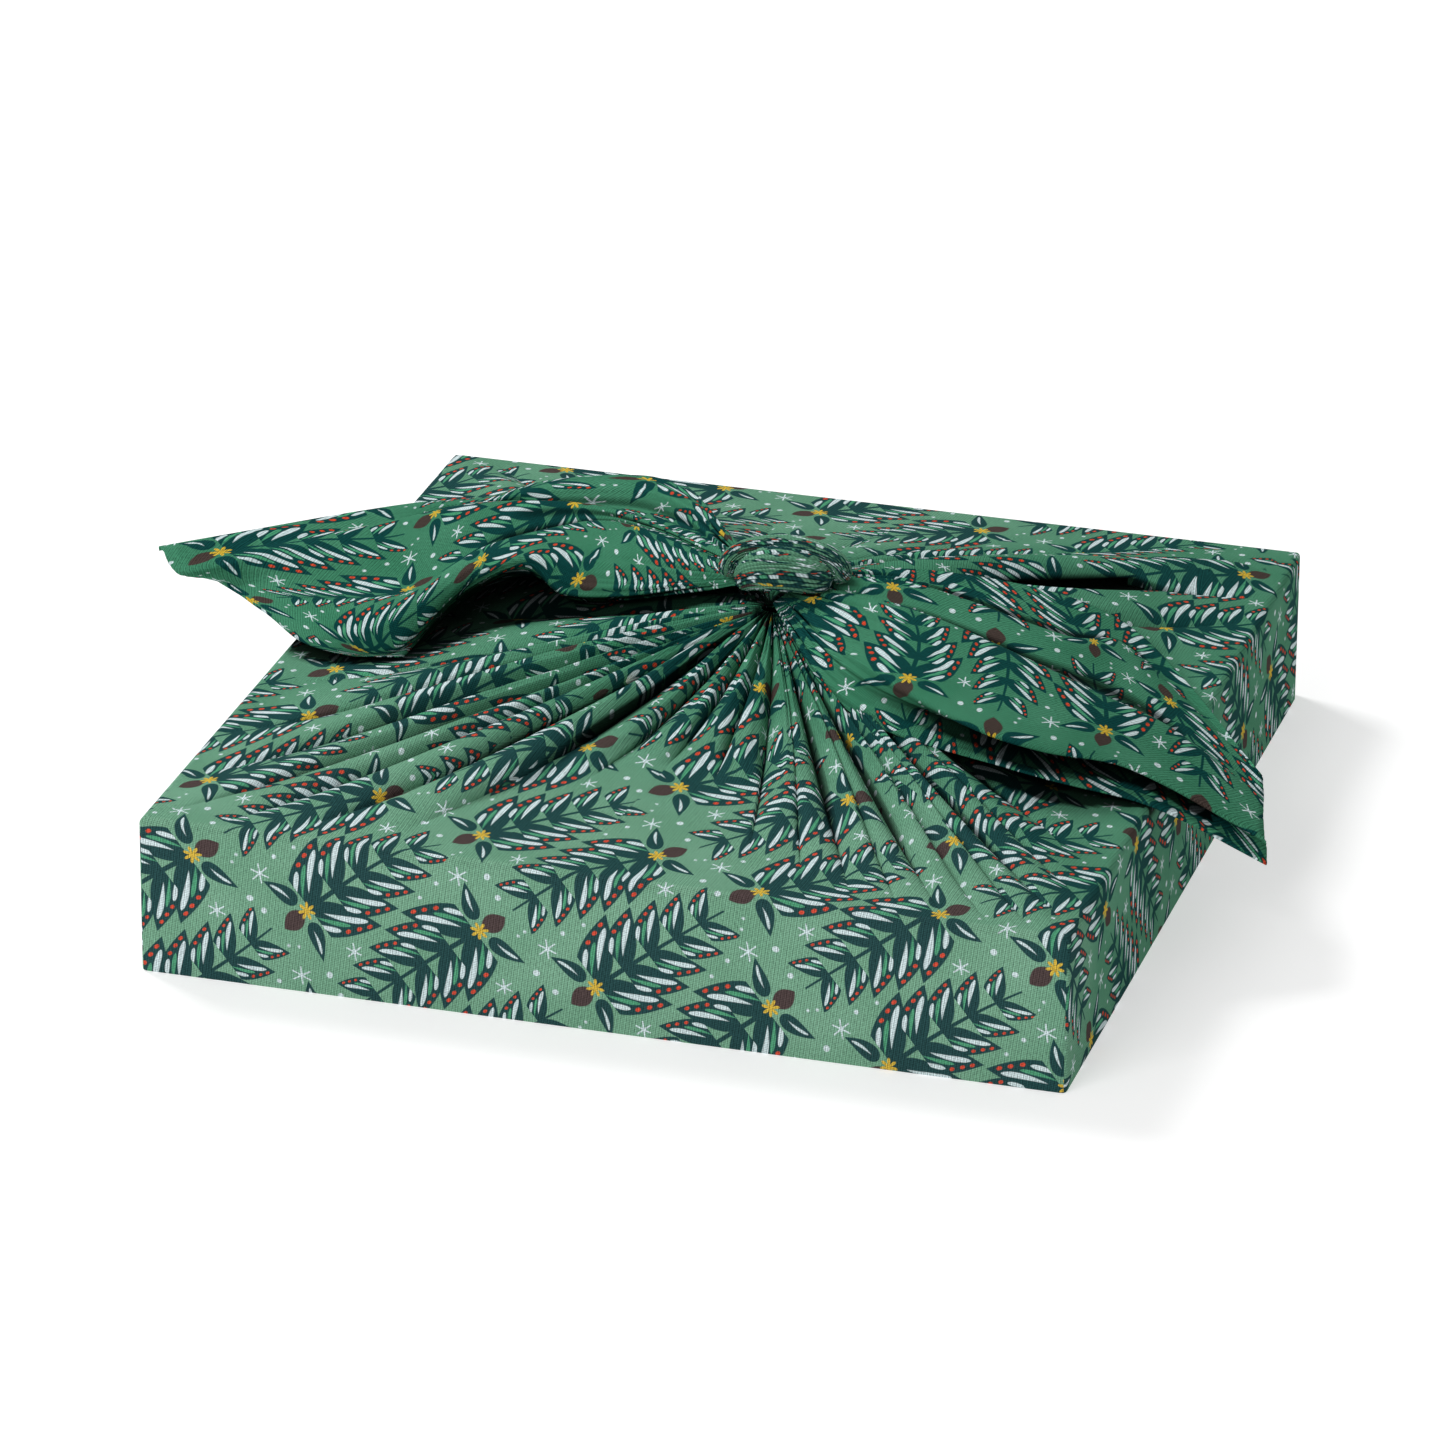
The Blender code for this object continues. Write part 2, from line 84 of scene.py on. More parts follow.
def curve_points(knots: Array, shares: Array) -> Array:
    """Points of an even curve through evenly numbered knots.

    Args:
        knots: the places passed in turn, one row each.
        shares: where the points lie, from 0 at the first knot to 1 at the last.

    Returns:
        One row for each share.
    """
    knots = np.asarray(knots, float)
    padded = np.concatenate([2 * knots[:1] - knots[1:2], knots, 2 * knots[-1:] - knots[-2:-1]])
    place = np.asarray(shares) * (len(knots) - 1)
    index = np.minimum(place.astype(int), len(knots) - 2)
    part = place - index
    near = [padded[index + step] for step in range(4)]
    shape = (-1,) + (1,) * (knots.ndim - 1)
    marks = [np.zeros(len(place))]
    for start, end in zip(near, near[1:]):
        gap = np.linalg.norm((end - start).reshape(len(place), -1), axis=1)
        marks.append(marks[-1] + np.sqrt(np.maximum(gap, 1e-9)))
    at = marks[1] + (marks[2] - marks[1]) * part

    def between(low: int, high: int, start: Array, end: Array) -> Array:
        """Blend two rows by where the place lies between two marks."""
        blend = ((at - marks[low]) / (marks[high] - marks[low])).reshape(shape)
        return start + (end - start) * blend

    first = between(0, 1, near[0], near[1])
    second = between(1, 2, near[1], near[2])
    third = between(2, 3, near[2], near[3])
    return between(1, 2, between(0, 2, first, second), between(1, 3, second, third))


def path_lengths(points: Array) -> Array:
    """Length from the start of a path, or of several side by side, to each of its points."""
    steps = np.linalg.norm(np.diff(points, axis=0), axis=-1)
    return np.concatenate([np.zeros_like(steps[:1]), np.cumsum(steps, axis=0)])


def openness(points: Array, closed: bool, reaches: tuple[int, ...],
             tube: bool = False) -> Array:
    """How open each point of a grid lies between its neighbours across the pleats, which sets its painted
    shade.

    Args:
        points: rows by columns by 3.
        closed: whether the last column joins the first.
        reaches: how many columns away the neighbours lie.
        tube: whether the grid is a tube, seen from outside, and not a sheet, seen from above.

    Returns:
        1 on a flat or raised place, down to 0 at the bottom of a tight fold.
    """
    normal = np.cross(np.gradient(points, axis=0), np.gradient(points, axis=1))
    normal /= np.maximum(np.linalg.norm(normal, axis=2, keepdims=True), 1e-9)
    outward = (normal * (points - points.mean(axis=1, keepdims=True))).sum(-1) if tube else normal[..., 2]
    normal *= 1.0 if outward.mean() > 0 else -1.0
    horizons = []
    for side in (1, -1):
        highest = np.zeros(points.shape[:2])
        for reach in reaches:
            if closed:
                other = np.roll(points, -side * reach, axis=1)
            else:
                index = np.clip(np.arange(points.shape[1]) + side * reach, 0, points.shape[1] - 1)
                other = points[:, index]
            away = other - points
            far = np.maximum(np.linalg.norm(away, axis=2), 1e-6)
            highest = np.maximum(highest, (away * normal).sum(-1) / far)
        horizons.append(highest)
    return np.clip(1.0 - 0.5 * (horizons[0] + horizons[1]), 0.0, 1.0)


def grid_piece(name: str, points: Array, print_at: Array, closed: bool = False,
               skip: Array | None = None, painted_shade_factor: Array | None = None,
               stretch_and_sheen: Array | None = None) -> Piece:
    """Make a mesh object from a grid of points.

    Args:
        name: name of the piece.
        points: rows by columns by 3.
        print_at: print coordinates in metres at the four corners of each cell, cell rows by cell
            columns by 4 by 2, in the order (r, c), (r + 1, c), (r + 1, c + 1), (r, c + 1).
        closed: whether the last column joins the first.
        skip: cells that are left open.
        painted_shade_factor: painted shade at each point, from 0 in full shade to 1 unshaded.
        stretch_and_sheen: how far stretch and painted light pale the cloth at each point, from 0 to 1.

    Returns:
        The new object.
    """
    rows, columns, _ = points.shape
    quads = cell_corners(np.arange(rows * columns).reshape(rows, columns), closed)
    keep = np.ones(quads.shape[:2], bool) if skip is None else ~skip
    faces = quads[keep].reshape(-1, 4)
    mesh = bpy.data.meshes.new(name)
    mesh.vertices.add(rows * columns)
    mesh.vertices.foreach_set("co", points.reshape(-1))
    mesh.loops.add(faces.size)
    mesh.loops.foreach_set("vertex_index", faces.reshape(-1).astype(np.int32))
    mesh.polygons.add(len(faces))
    mesh.polygons.foreach_set("loop_start", np.arange(0, faces.size, 4, dtype=np.int32))
    mesh.update(calc_edges=True)
    layer = mesh.uv_layers.new(name=PRINT_MAP)
    layer.data.foreach_set("uv", print_at[keep].reshape(-1).astype(np.float32))
    mesh.polygons.foreach_set("use_smooth", np.ones(len(faces), bool))
    for label, values, usual in ((PAINTED_SHADE_MARK, painted_shade_factor, 1.0), (STRETCH_AND_SHEEN_MARK, stretch_and_sheen, 0.0)):
        mark = mesh.attributes.new(label, "FLOAT", "POINT")
        given = np.full((rows, columns), usual) if values is None else values
        mark.data.foreach_set("value", given.reshape(-1).astype(np.float32))
    mesh.validate()
    item = bpy.data.objects.new(name, mesh)
    bpy.context.scene.collection.objects.link(item)
    return item


def select_only(item: Piece) -> None:
    """Make one object the only selected and active one."""
    bpy.ops.object.select_all(action="DESELECT")
    item.select_set(True)
    bpy.context.view_layer.objects.active = item


def give_thickness(item: Piece, thickness: float, offset: float) -> None:
    """Give a sheet its thickness and close its cut edges.

    Args:
        item: the sheet.
        thickness: cloth thickness in metres.
        offset: -1 grows behind the faces, 0 to both sides.
    """
    select_only(item)
    modifier = item.modifiers.new("thickness", "SOLIDIFY")
    modifier.thickness = thickness
    modifier.offset = offset
    modifier.use_rim = True
    bpy.ops.object.modifier_apply(modifier=modifier.name)


def cell_corners(values: Array, closed: bool = False) -> Array:
    """Spread values on grid points to the four corners of each cell."""
    after = np.roll(values, -1, axis=1) if closed else values[:, 1:]
    here = values if closed else values[:, :-1]
    return np.stack([here[:-1], here[1:], after[1:], after[:-1]], axis=2)


@dataclass
class PaintedShadow:
    """Paints shade into each piece's shade mark where the cloth hides the sky, leant towards the key lamp."""

    bias: float = 0.0
    # Direction of the key lamp; the bias leans the rays towards it, so the painted shade falls as its cast
    # shadow.
    towards: tuple[float, float, float] = (-0.72, 0.36, 0.59)
    rays: int = 26
    reach: float = 0.085
    lift: float = 0.0010
    shut: float = 0.06
    free: float = 0.72
    lowest: float = 0.05

    def directions(self) -> Array:
        """Even directions over the half sphere round +Z, weighted towards its middle."""
        number = np.arange(self.rays) + 0.5
        outward = np.sqrt(number / self.rays)
        turn = number * GOLDEN_TURN
        return np.stack([outward * np.cos(turn), outward * np.sin(turn), np.sqrt(1.0 - outward ** 2)],
                        axis=-1)

    def apply(self, targets: list[Piece], covers: list[Piece]) -> None:
        """Paint shade into the shade mark where the covers hide the sky.

        Args:
            targets: the pieces whose mark is changed.
            covers: the pieces that can hide the sky.
        """
        spots, faces = [], []
        for cover in covers:
            start = len(spots)
            spots.extend(vertex.co.copy() for vertex in cover.data.vertices)
            faces.extend([start + corner for corner in face.vertices] for face in cover.data.polygons)
        tree = BVHTree.FromPolygons(spots, faces)
        fan = self.directions()
        low, high = np.min(spots, axis=0), np.max(spots, axis=0)
        for target in targets:
            mesh = target.data
            count = len(mesh.vertices)
            points, normals = np.empty(count * 3), np.empty(count * 3)
            mesh.vertices.foreach_get("co", points)
            mesh.vertex_normals.foreach_get("vector", normals)
            points, normals = points.reshape(-1, 3), normals.reshape(-1, 3)
            near = ((points > low - self.reach) & (points < high + self.reach)).all(axis=1)
            near &= points[:, 2] > self.lowest
            side = np.cross(normals, np.where(np.abs(normals[:, 2:]) < 0.9, (0.0, 0.0, 1.0), (1.0, 0.0, 0.0)))
            side /= np.maximum(np.linalg.norm(side, axis=1, keepdims=True), 1e-9)
            other = np.cross(normals, side)
            seen = np.ones(count)
            for index in np.nonzero(near)[0]:
                start = (points[index] + normals[index] * self.lift).tolist()
                away = fan @ np.stack([side[index], other[index], normals[index]])
                away += self.bias * np.array(self.towards)
                shut = sum(tree.ray_cast(start, ray, self.reach)[0] is not None for ray in away.tolist())
                seen[index] = 1.0 - shut / self.rays
            mark = mesh.attributes[PAINTED_SHADE_MARK].data
            values = np.empty(count, np.float32)
            mark.foreach_get("value", values)
            values *= smooth_step(self.shut, self.free, seen)
            mark.foreach_set("value", values.astype(np.float32))


class Pleat(Enum):
    """Columns of the table of pleats: two headings in degrees, height in mm, end of its way, and lean."""

    EDGE = 0
    FOOT = 1
    RISE = 2
    FADE = 3
    LEAN = 4


@dataclass
class Parcel:
    """Outer size of the wrapped carton and the place where all folds meet."""

    length: float = 0.3322
    depth: float = 0.3540
    height: float = 0.0585
    corner_radius: float = 0.0020
    top_radius: float = 0.0028
    bottom_radius: float = 0.0008
    foot_x: float = 0.0120
    foot_y: float = -0.0030
    foot_radius: float = 0.0040
    foot_rise: float = 0.0300
    tent_power: float = 1.40

    def rim(self, angle: Array, inset: float | Array) -> Array:
        """Distance from the fold centre to the rounded rectangle.

        Args:
            angle: headings from the fold centre.
            inset: how far the rectangle is drawn in.

        Returns:
            The distance for each heading.
        """
        half_x = 0.5 * self.length - inset
        half_y = 0.5 * self.depth - inset
        radius = np.maximum(self.corner_radius - inset, 0.0006)
        run_x, run_y = np.cos(angle), np.sin(angle)
        sign_x, sign_y = np.copysign(1.0, run_x), np.copysign(1.0, run_y)
        reach_x = (sign_x * half_x - self.foot_x) / np.where(np.abs(run_x) > 1e-9, run_x, 1e-9 * sign_x)
        reach_y = (sign_y * half_y - self.foot_y) / np.where(np.abs(run_y) > 1e-9, run_y, 1e-9 * sign_y)
        reach = np.minimum(reach_x, reach_y)
        hit_x = self.foot_x + reach * run_x
        hit_y = self.foot_y + reach * run_y
        to_x = sign_x * (half_x - radius) - self.foot_x
        to_y = sign_y * (half_y - radius) - self.foot_y
        along = to_x * run_x + to_y * run_y
        aside = to_x * run_y - to_y * run_x
        bent = along + np.sqrt(np.maximum(radius ** 2 - aside ** 2, 0.0))
        corner = (np.abs(hit_x) > half_x - radius) & (np.abs(hit_y) > half_y - radius)
        return np.where(corner, bent, reach)

    def place(self, angle: Array, reach: Array, height: Array) -> Array:
        """Turn headings, reaches and heights to points."""
        x = self.foot_x + reach * np.cos(angle)
        y = self.foot_y + reach * np.sin(angle)
        return np.stack([x, y, np.broadcast_to(height, x.shape)], axis=-1)


@dataclass
class WrapSheet:
    """The cloth round the carton: gathered top, walls and underside.

    A column is a pleat's number in the table, with parts of one between two pleats. A deep valley's painted
    shadow line is given by its column, its half width, the shares of the way where it starts and ends, and
    how dark it is.
    Paleness gives how far stretch and painted light pale the cloth at headings in degrees.
    """

    parcel: Parcel
    thickness: float = 0.0007
    fold_bend: float = 0.70
    foot_relief: float = 0.0028
    steps_per_pleat: int = 17
    top_rows: int = 56
    valley_share: float = 0.60
    steepness: float = 1.3
    print_turn: float = 0.45
    opening_after: int = 3
    opening_start: float = 0.40
    opening_end: float = 0.76
    opening_wide: float = 0.36
    opening_push: float = 0.21
    crease_size: float = 0.0016
    crease_rest: float = 0.00040
    sag: float = 0.0016
    underside_insets: tuple[float, ...] = (0.012, 0.06, 0.14)
    wall_level: int = 7
    # Painted shadow lines in the deep valleys: column, half width, start, end and darkness.
    painted_valley_shadows: tuple[FoldRow, ...] = (
        (17.5, 0.10, 0.03, 0.96, 0.85), (18.5, 0.09, 0.03, 0.90, 0.75), (19.5, 0.09, 0.03, 0.94, 0.85),
        (20.5, 0.11, 0.03, 0.86, 0.85), (21.44, 0.22, 0.02, 0.80, 0.95), (22.5, 0.12, 0.02, 0.55, 0.70),
        (26.5, 0.12, 0.02, 0.80, 0.80), (27.5, 0.10, 0.02, 0.92, 0.75), (29.5, 0.10, 0.05, 0.97, 0.80),
        (30.5, 0.09, 0.05, 0.97, 0.60), (32.5, 0.10, 0.05, 0.97, 0.75), (33.5, 0.09, 0.10, 0.90, 0.60),
        (16.5, 0.10, 0.05, 0.85, 0.75), (15.5, 0.08, 0.05, 0.60, 0.50), (28.5, 0.09, 0.05, 0.97, 0.75),
        (31.5, 0.09, 0.05, 0.97, 0.75), (34.5, 0.09, 0.10, 0.85, 0.60), (23.5, 0.10, 0.02, 0.45, 0.65),
        (2.5, 0.09, 0.10, 0.90, 0.60), (4.5, 0.12, 0.10, 0.97, 0.75),
        (11.5, 0.10, 0.20, 0.97, 0.60), (12.5, 0.10, 0.30, 0.97, 0.60), (3.5, 0.12, 0.36, 0.99, 1.00))
    stretch_and_light_by_heading: tuple[tuple[float, float], ...] = (
        (0, 0.2), (55, 0.2), (80, 0.75), (120, 0.75), (160, 0.5), (200, 0.5), (224, 1.0), (308, 1.0),
        (320, 0.3), (360, 0.2))
    pleats: tuple[FoldRow, ...] = (
        (10, 8, 3.0, 0.90, 0.1), (22, 19, 3.5, 0.92, 0.1), (33, 26, 4.5, 0.97, 0.2),
        (39, 34, 6.0, 1.00, 0.2), (43, 100, 8.5, 1.00, -0.1), (48, 106, 5.5, 0.97, 0.2),
        (62, 111, 4.0, 0.90, 0.1), (76, 114, 3.0, 0.85, 0), (94, 117, 2.5, 0.80, 0),
        (112, 121, 3.0, 0.85, -0.1), (122, 127, 4.5, 0.95, -0.2), (129, 132, 6.5, 1.00, -0.3),
        (135.5, 138, 6.5, 1.00, 0.2), (143, 146, 4.5, 0.95, 0.1), (160, 158, 3.0, 0.88, 0),
        (190, 178, 2.5, 0.75, 0.1), (204, 195, 6.0, 0.95, 0.3), (214, 208, 8.5, 1.00, 0.35),
        (222, 220.5, 7.0, 1.00, 0.3), (226.5, 227, 6.5, 1.00, 0.3), (230.5, 232, 7.0, 1.00, 0.35),
        (237, 241, 10.0, 0.96, 0.5), (246, 254, 6.0, 0.66, 0.4), (256, 265, 5.0, 0.58, 0.3),
        (267, 275, 4.0, 0.55, 0.1), (278, 284, 4.0, 0.60, -0.1), (286.5, 290.5, 6.0, 0.86, 0.35),
        (292, 294.5, 6.0, 0.92, -0.25), (297, 298.5, 6.0, 0.97, 0.3), (301, 302.5, 6.0, 0.98, -0.3),
        (304.5, 305.5, 6.5, 1.00, 0.3), (308, 308.5, 6.5, 1.00, 0.3), (311, 312, 6.5, 1.00, -0.3),
        (314.5, 316, 6.0, 1.00, 0.3), (319, 321, 5.0, 0.97, -0.2), (326, 330, 4.0, 0.90, 0.2),
        (338, 341, 3.0, 0.85, 0), (354, 354, 3.0, 0.85, 0))

    def __post_init__(self) -> None:
        """Lay the table of pleats out as arrays."""
        self.table = np.array(self.pleats, float)
        self.count = len(self.table)

    def between(self, column: Array, name: Pleat) -> Array:
        """Value of a heading at fractional columns, with whole turns past the last pleat."""
        numbers = np.arange(-2, self.count + 3)
        turns, local = np.divmod(numbers, self.count)
        return np.interp(column, numbers, self.table[local, name.value] + 360.0 * turns)

    def own(self, column: Array, name: Pleat) -> Array:
        """Value of the pleat that each column belongs to."""
        return self.table[np.round(column).astype(int) % self.count, name.value]

    def heading(self, column: Array, way: Array) -> Array:
        """Heading of columns at shares of the way from the knot to the edge."""
        edge = self.between(column, Pleat.EDGE)
        foot = self.between(column, Pleat.FOOT)
        return np.radians(foot + (edge - foot) * way ** self.fold_bend)

    def fine_creases(self, column: Array, way: Array) -> Array:
        """Small uneven creases that run along the pleats, from -1 to 1."""
        dice = np.random.default_rng(7)
        total = np.zeros(np.broadcast(column, way).shape)
        for cycles in (47, 71, 101, 131):
            phase, drift, wave, shift = dice.uniform(0.0, 2 * math.pi, 4)
            bend = 0.9 * np.sin(2.2 * way * math.pi + drift) + 0.7 * np.sin(4.1 * way * math.pi + wave)
            turn = 2 * math.pi * cycles * column / self.count + phase + bend
            patch = 0.5 + 0.5 * np.sin(2 * math.pi * column * (cycles % 7 + 3) / self.count
                                       + 3.0 * way + shift)
            total += patch * (2.0 * np.abs(np.sin(0.5 * turn)) ** 0.6 - 1.2)
        return total / 3.0

    def relief(self, column: Array, offset: Array,
               way: Array) -> tuple[Array, Array]:
        """Height of the pleats over the smooth tent, which narrow pleats keep low.

        Args:
            column: number of the pleat.
            offset: place across it, from -0.5 to 0.5.
            way: share of the way from the knot to the edge.

        Returns:
            The height, and the share of the pleat's full profile there.
        """
        rise = self.own(column, Pleat.RISE) * MM
        fade = self.own(column, Pleat.FADE)
        profile = (1.0 - np.clip(np.abs(2.0 * offset), 0.0, 1.0) ** 2.3) ** 0.7
        grow = np.sin(0.5 * math.pi * np.minimum(way / 0.35, 1.0))
        body = self.foot_relief + (rise - self.foot_relief) * grow
        wide = self.heading(column + 0.5, way) - self.heading(column - 0.5, way)
        wide = wide * (self.parcel.foot_radius + 0.19 * way)
        body = body * (1.0 - np.exp(-self.steepness * wide / body))
        left = np.clip((fade - way) / (fade - 0.45), 0.0, 1.0)
        reach = np.sin(0.5 * math.pi * left) ** 1.2
        valley = self.valley_share * body * (1.0 - profile)
        height = (profile * body - valley) * reach
        crease = self.fine_creases(column + offset, way)
        size = self.crease_size * np.exp(-((way - 0.28) / 0.32) ** 2) + self.crease_rest * (1.0 - way)
        height = height + crease * size * np.sqrt(reach) * smooth_step(0.0, 0.12, way)
        return height, profile * reach

    def shadows(self, column: Array, way: Array) -> Array:
        """Painted shadow of the deep valleys between pleats: the share of the colour each point keeps."""
        light = np.ones(np.broadcast(column, way).shape)
        for middle, wide, start, end, depth in self.painted_valley_shadows:
            along = smooth_step(start, start + 0.08, way) * (1.0 - smooth_step(end - 0.35, end, way))
            narrow = wide * (0.35 + 0.65 * along)
            light *= 1.0 - depth * along * np.exp(-((column - middle) / narrow) ** 4)
        return light

    def columns(self) -> tuple[Array, Array]:
        """Pleat number and place across it for every column of the mesh."""
        turn = np.arange(self.steps_per_pleat) / self.steps_per_pleat * 2.0 - 1.0
        across = 0.5 * (0.55 * np.sin(0.5 * math.pi * turn) + 0.45 * turn)
        number = np.repeat(np.arange(self.count), self.steps_per_pleat)
        return number.astype(float), np.tile(across, self.count)

    def rows(self) -> Array:
        """Shares of the way of the rows of the top."""
        share = np.linspace(0.0, 1.0, self.top_rows)
        return 0.55 * share ** 1.5 + 0.45 * share

    def top(self, number: Array, across: Array) -> Array:
        """Points of the gathered top, rows by columns."""
        parcel = self.parcel
        way = self.rows()[:, None]
        height, full = self.relief(number[None, :], across[None, :], way)
        lean = self.own(number, Pleat.LEAN)[None, :] * full * smooth_step(0.02, 0.35, way)
        place = self.spread(number[None, :] + across[None, :], way) + lean
        angle = self.heading(place, way)
        rim = parcel.rim(angle, parcel.top_radius)
        reach = parcel.foot_radius + (rim - parcel.foot_radius) * way
        tent = parcel.height + parcel.foot_rise * (1.0 - way) ** parcel.tent_power
        floor = parcel.height - self.sag
        return parcel.place(angle, reach, np.maximum(tent + height, floor))

    def opening_share(self, way: Array) -> Array:
        """Share of the way along the opening beside the back roll, from 0 to 1 inside it."""
        return (way - self.opening_start) / (self.opening_end - self.opening_start)

    def spread(self, column: Array, way: Array) -> Array:
        """Draw the cloth away from the opening."""
        share = np.clip(self.opening_share(way), 0.0, 1.0)
        wide = 2.0 * share ** 0.6 * (1.0 - share) ** 1.1
        offset = column - self.opening_after - 0.5
        push = self.opening_push * wide * np.sign(offset) * np.exp(-(offset / 0.45) ** 2)
        return column + np.where(np.abs(offset) < 1.5, push, 0.0)

    def lower(self, number: Array, across: Array) -> tuple[Array, Array]:
        """Points of the rounded edge, wall and underside.

        Args:
            number: pleat of each column.
            across: place across the pleat.

        Returns:
            The points, rows by columns, and how far each row lies past the top's edge.
        """
        parcel = self.parcel
        angle = self.heading(number + across, np.ones(len(number)))
        insets, drops = [], []
        for step in range(1, 6):
            turn = 0.5 * math.pi * step / 5
            insets.append(parcel.top_radius * (1.0 - math.sin(turn)))
            drops.append(parcel.top_radius * (1.0 - math.cos(turn)))
        wall = parcel.height - parcel.top_radius - parcel.bottom_radius
        for step in range(1, 6):
            insets.append(0.0)
            drops.append(parcel.top_radius + wall * step / 5)
        for step in range(1, 4):
            turn = 0.5 * math.pi * step / 3
            insets.append(parcel.bottom_radius * (1.0 - math.cos(turn)))
            drops.append(parcel.height - parcel.bottom_radius * (1.0 - math.sin(turn)))
        for inset in self.underside_insets:
            insets.append(inset)
            drops.append(parcel.height)
        insets_at, drops_at = np.array(insets)[:, None], np.array(drops)[:, None]
        points = parcel.place(angle[None, :], parcel.rim(angle[None, :], insets_at),
                              parcel.height - drops_at)
        profile = np.stack([np.array(insets), np.array(drops)], axis=-1)
        start = np.array([[parcel.top_radius, 0.0]])
        return points, path_lengths(np.concatenate([start, profile]))[1:]

    def top_print(self, points: Array) -> Array:
        """Print coordinates of the top, which stay true to size on every pleat.

        Args:
            points: points of the top, rows by columns.

        Returns:
            Coordinates at the corners of each cell.
        """
        rows, columns, _ = points.shape
        cells = np.zeros((rows - 1, columns, 4, 2))
        steps = self.steps_per_pleat
        wrapped = np.concatenate([points, points[:, :1]], axis=1)
        for pleat in range(self.count):
            strip = wrapped[:, pleat * steps:(pleat + 1) * steps + 1]
            middle = steps // 2
            crest = strip[:, middle]
            run = np.gradient(crest, axis=0)
            true = np.arctan2(-run[:, 1], -run[:, 0])
            side = round(math.degrees(float(true[-1])) / 90.0) * math.pi / 2
            away = (true - side + math.pi) % (2 * math.pi) - math.pi
            share = smooth_step(0.0, 0.75, 1.0 - self.rows())
            laid = true - self.print_turn * away * share
            lengths = np.linalg.norm(np.diff(crest, axis=0), axis=1)
            line = np.zeros((rows, 2))
            line[-1] = crest[-1, :2]
            for row in range(rows - 2, -1, -1):
                turn = 0.5 * (laid[row] + laid[row + 1])
                line[row] = line[row + 1] + lengths[row] * np.array([math.cos(turn), math.sin(turn)])
            ahead = np.stack([np.cos(true), np.sin(true)], axis=-1)[:, None]
            jump = np.diff(strip, axis=1)
            forward = (jump[..., :2] * ahead).sum(-1)
            sideways = ahead[..., 0] * jump[..., 1] - ahead[..., 1] * jump[..., 0]
            span = np.sqrt(np.maximum((jump ** 2).sum(-1) - forward ** 2, 0.0))
            sideways = np.where(sideways < 0.0, -span, span)
            parts = np.stack([forward, sideways], axis=-1)
            sums = np.concatenate([np.zeros((rows, 1, 2)), np.cumsum(parts, axis=1)], axis=1)
            sums -= sums[:, middle:middle + 1]
            cosine, sine = np.cos(laid)[:, None], np.sin(laid)[:, None]
            spot = np.stack([sums[..., 0] * cosine - sums[..., 1] * sine,
                             sums[..., 0] * sine + sums[..., 1] * cosine], axis=-1)
            spot += line[:, None]
            cells[:, pleat * steps:(pleat + 1) * steps] = cell_corners(spot)
        return cells

    def lower_print(self, points: Array, past: Array) -> Array:
        """Print coordinates of the walls and underside, unfolded round the top's edge."""
        parcel = self.parcel
        after = np.roll(points, -1, axis=1)
        cells = cell_corners(points[..., :2], closed=True)
        drop = cell_corners(np.broadcast_to(past[:, None, None], points.shape[:2] + (1,)), closed=True)
        middle = 0.5 * (points + after)
        middle = middle[self.wall_level]
        right = np.abs(middle[:, 0]) / parcel.length > np.abs(middle[:, 1]) / parcel.depth
        on_x = np.broadcast_to(right, cells.shape[:2])[..., None]
        sign_x = np.sign(middle[:, 0])[None, :, None]
        sign_y = np.sign(middle[:, 1])[None, :, None]
        edge_x = sign_x * (0.5 * parcel.length - parcel.top_radius + drop[..., 0])
        edge_y = sign_y * (0.5 * parcel.depth - parcel.top_radius + drop[..., 0])
        first = np.where(on_x, edge_x, cells[..., 0])
        second = np.where(on_x, cells[..., 1], edge_y)
        return np.stack([first, second], axis=-1)

    def build(self) -> Piece:
        """Build the sheet.

        Returns:
            The new piece.
        """
        number, across = self.columns()
        column = number + across
        top = self.top(number, across)
        lower, past = self.lower(number, across)
        edge = np.concatenate([top[-1:], lower])
        points = np.concatenate([top, lower])
        cells = np.concatenate([self.top_print(top),
                                self.lower_print(edge, np.concatenate([[0.0], past]))])
        skip = np.zeros(cells.shape[:2], bool)
        skip[:len(top) - 1] = self.open_cells(column)
        item = grid_piece("cloth_wrap", points, cells, True, skip, self.painted_fold_shade(points, column),
                          self.stretch_and_sheen_mark(column, len(lower)))
        self.close_underside(item, points.shape[1])
        give_thickness(item, self.thickness, -1.0)
        return item

    def open_cells(self, column: Array) -> Array:
        """Cells of the top that the opening leaves out."""
        way = self.rows()
        share = self.opening_share(0.5 * (way[1:] + way[:-1]))
        wide = np.clip(share, 0.0, 1.0)
        half = 0.01 + self.opening_wide * wide ** 0.8 * (1.0 - wide) ** 1.3
        middle = column + 0.5 / self.steps_per_pleat - self.opening_after - 0.5
        return (np.abs(middle)[None, :] < half[:, None]) & ((share > 0.0) & (share < 1.0))[:, None]

    def painted_fold_shade(self, points: Array, column: Array) -> Array:
        """Painted shade, darker in tight folds and the deep valleys, and none below the top's edge."""
        way = self.rows()
        mark = openness(points, True, (1, 2, 3, 5, 8))
        mark[:len(way)] *= self.shadows(column[None, :], way[:, None])
        mark[len(way):] = 1.0
        return mark

    def stretch_and_sheen_mark(self, column: Array, low_rows: int) -> Array:
        """How far stretch and painted light pale the cloth, most of all on the walls of the lamp-facing
        sides.
        """
        rising = np.concatenate([0.8 * smooth_step(0.15, 0.85, self.rows()), np.ones(low_rows)])
        heads = np.degrees(self.heading(column, np.ones(len(column)))) % 360.0
        return rising[:, None] * np.interp(heads, *np.array(self.stretch_and_light_by_heading).T)[None, :]

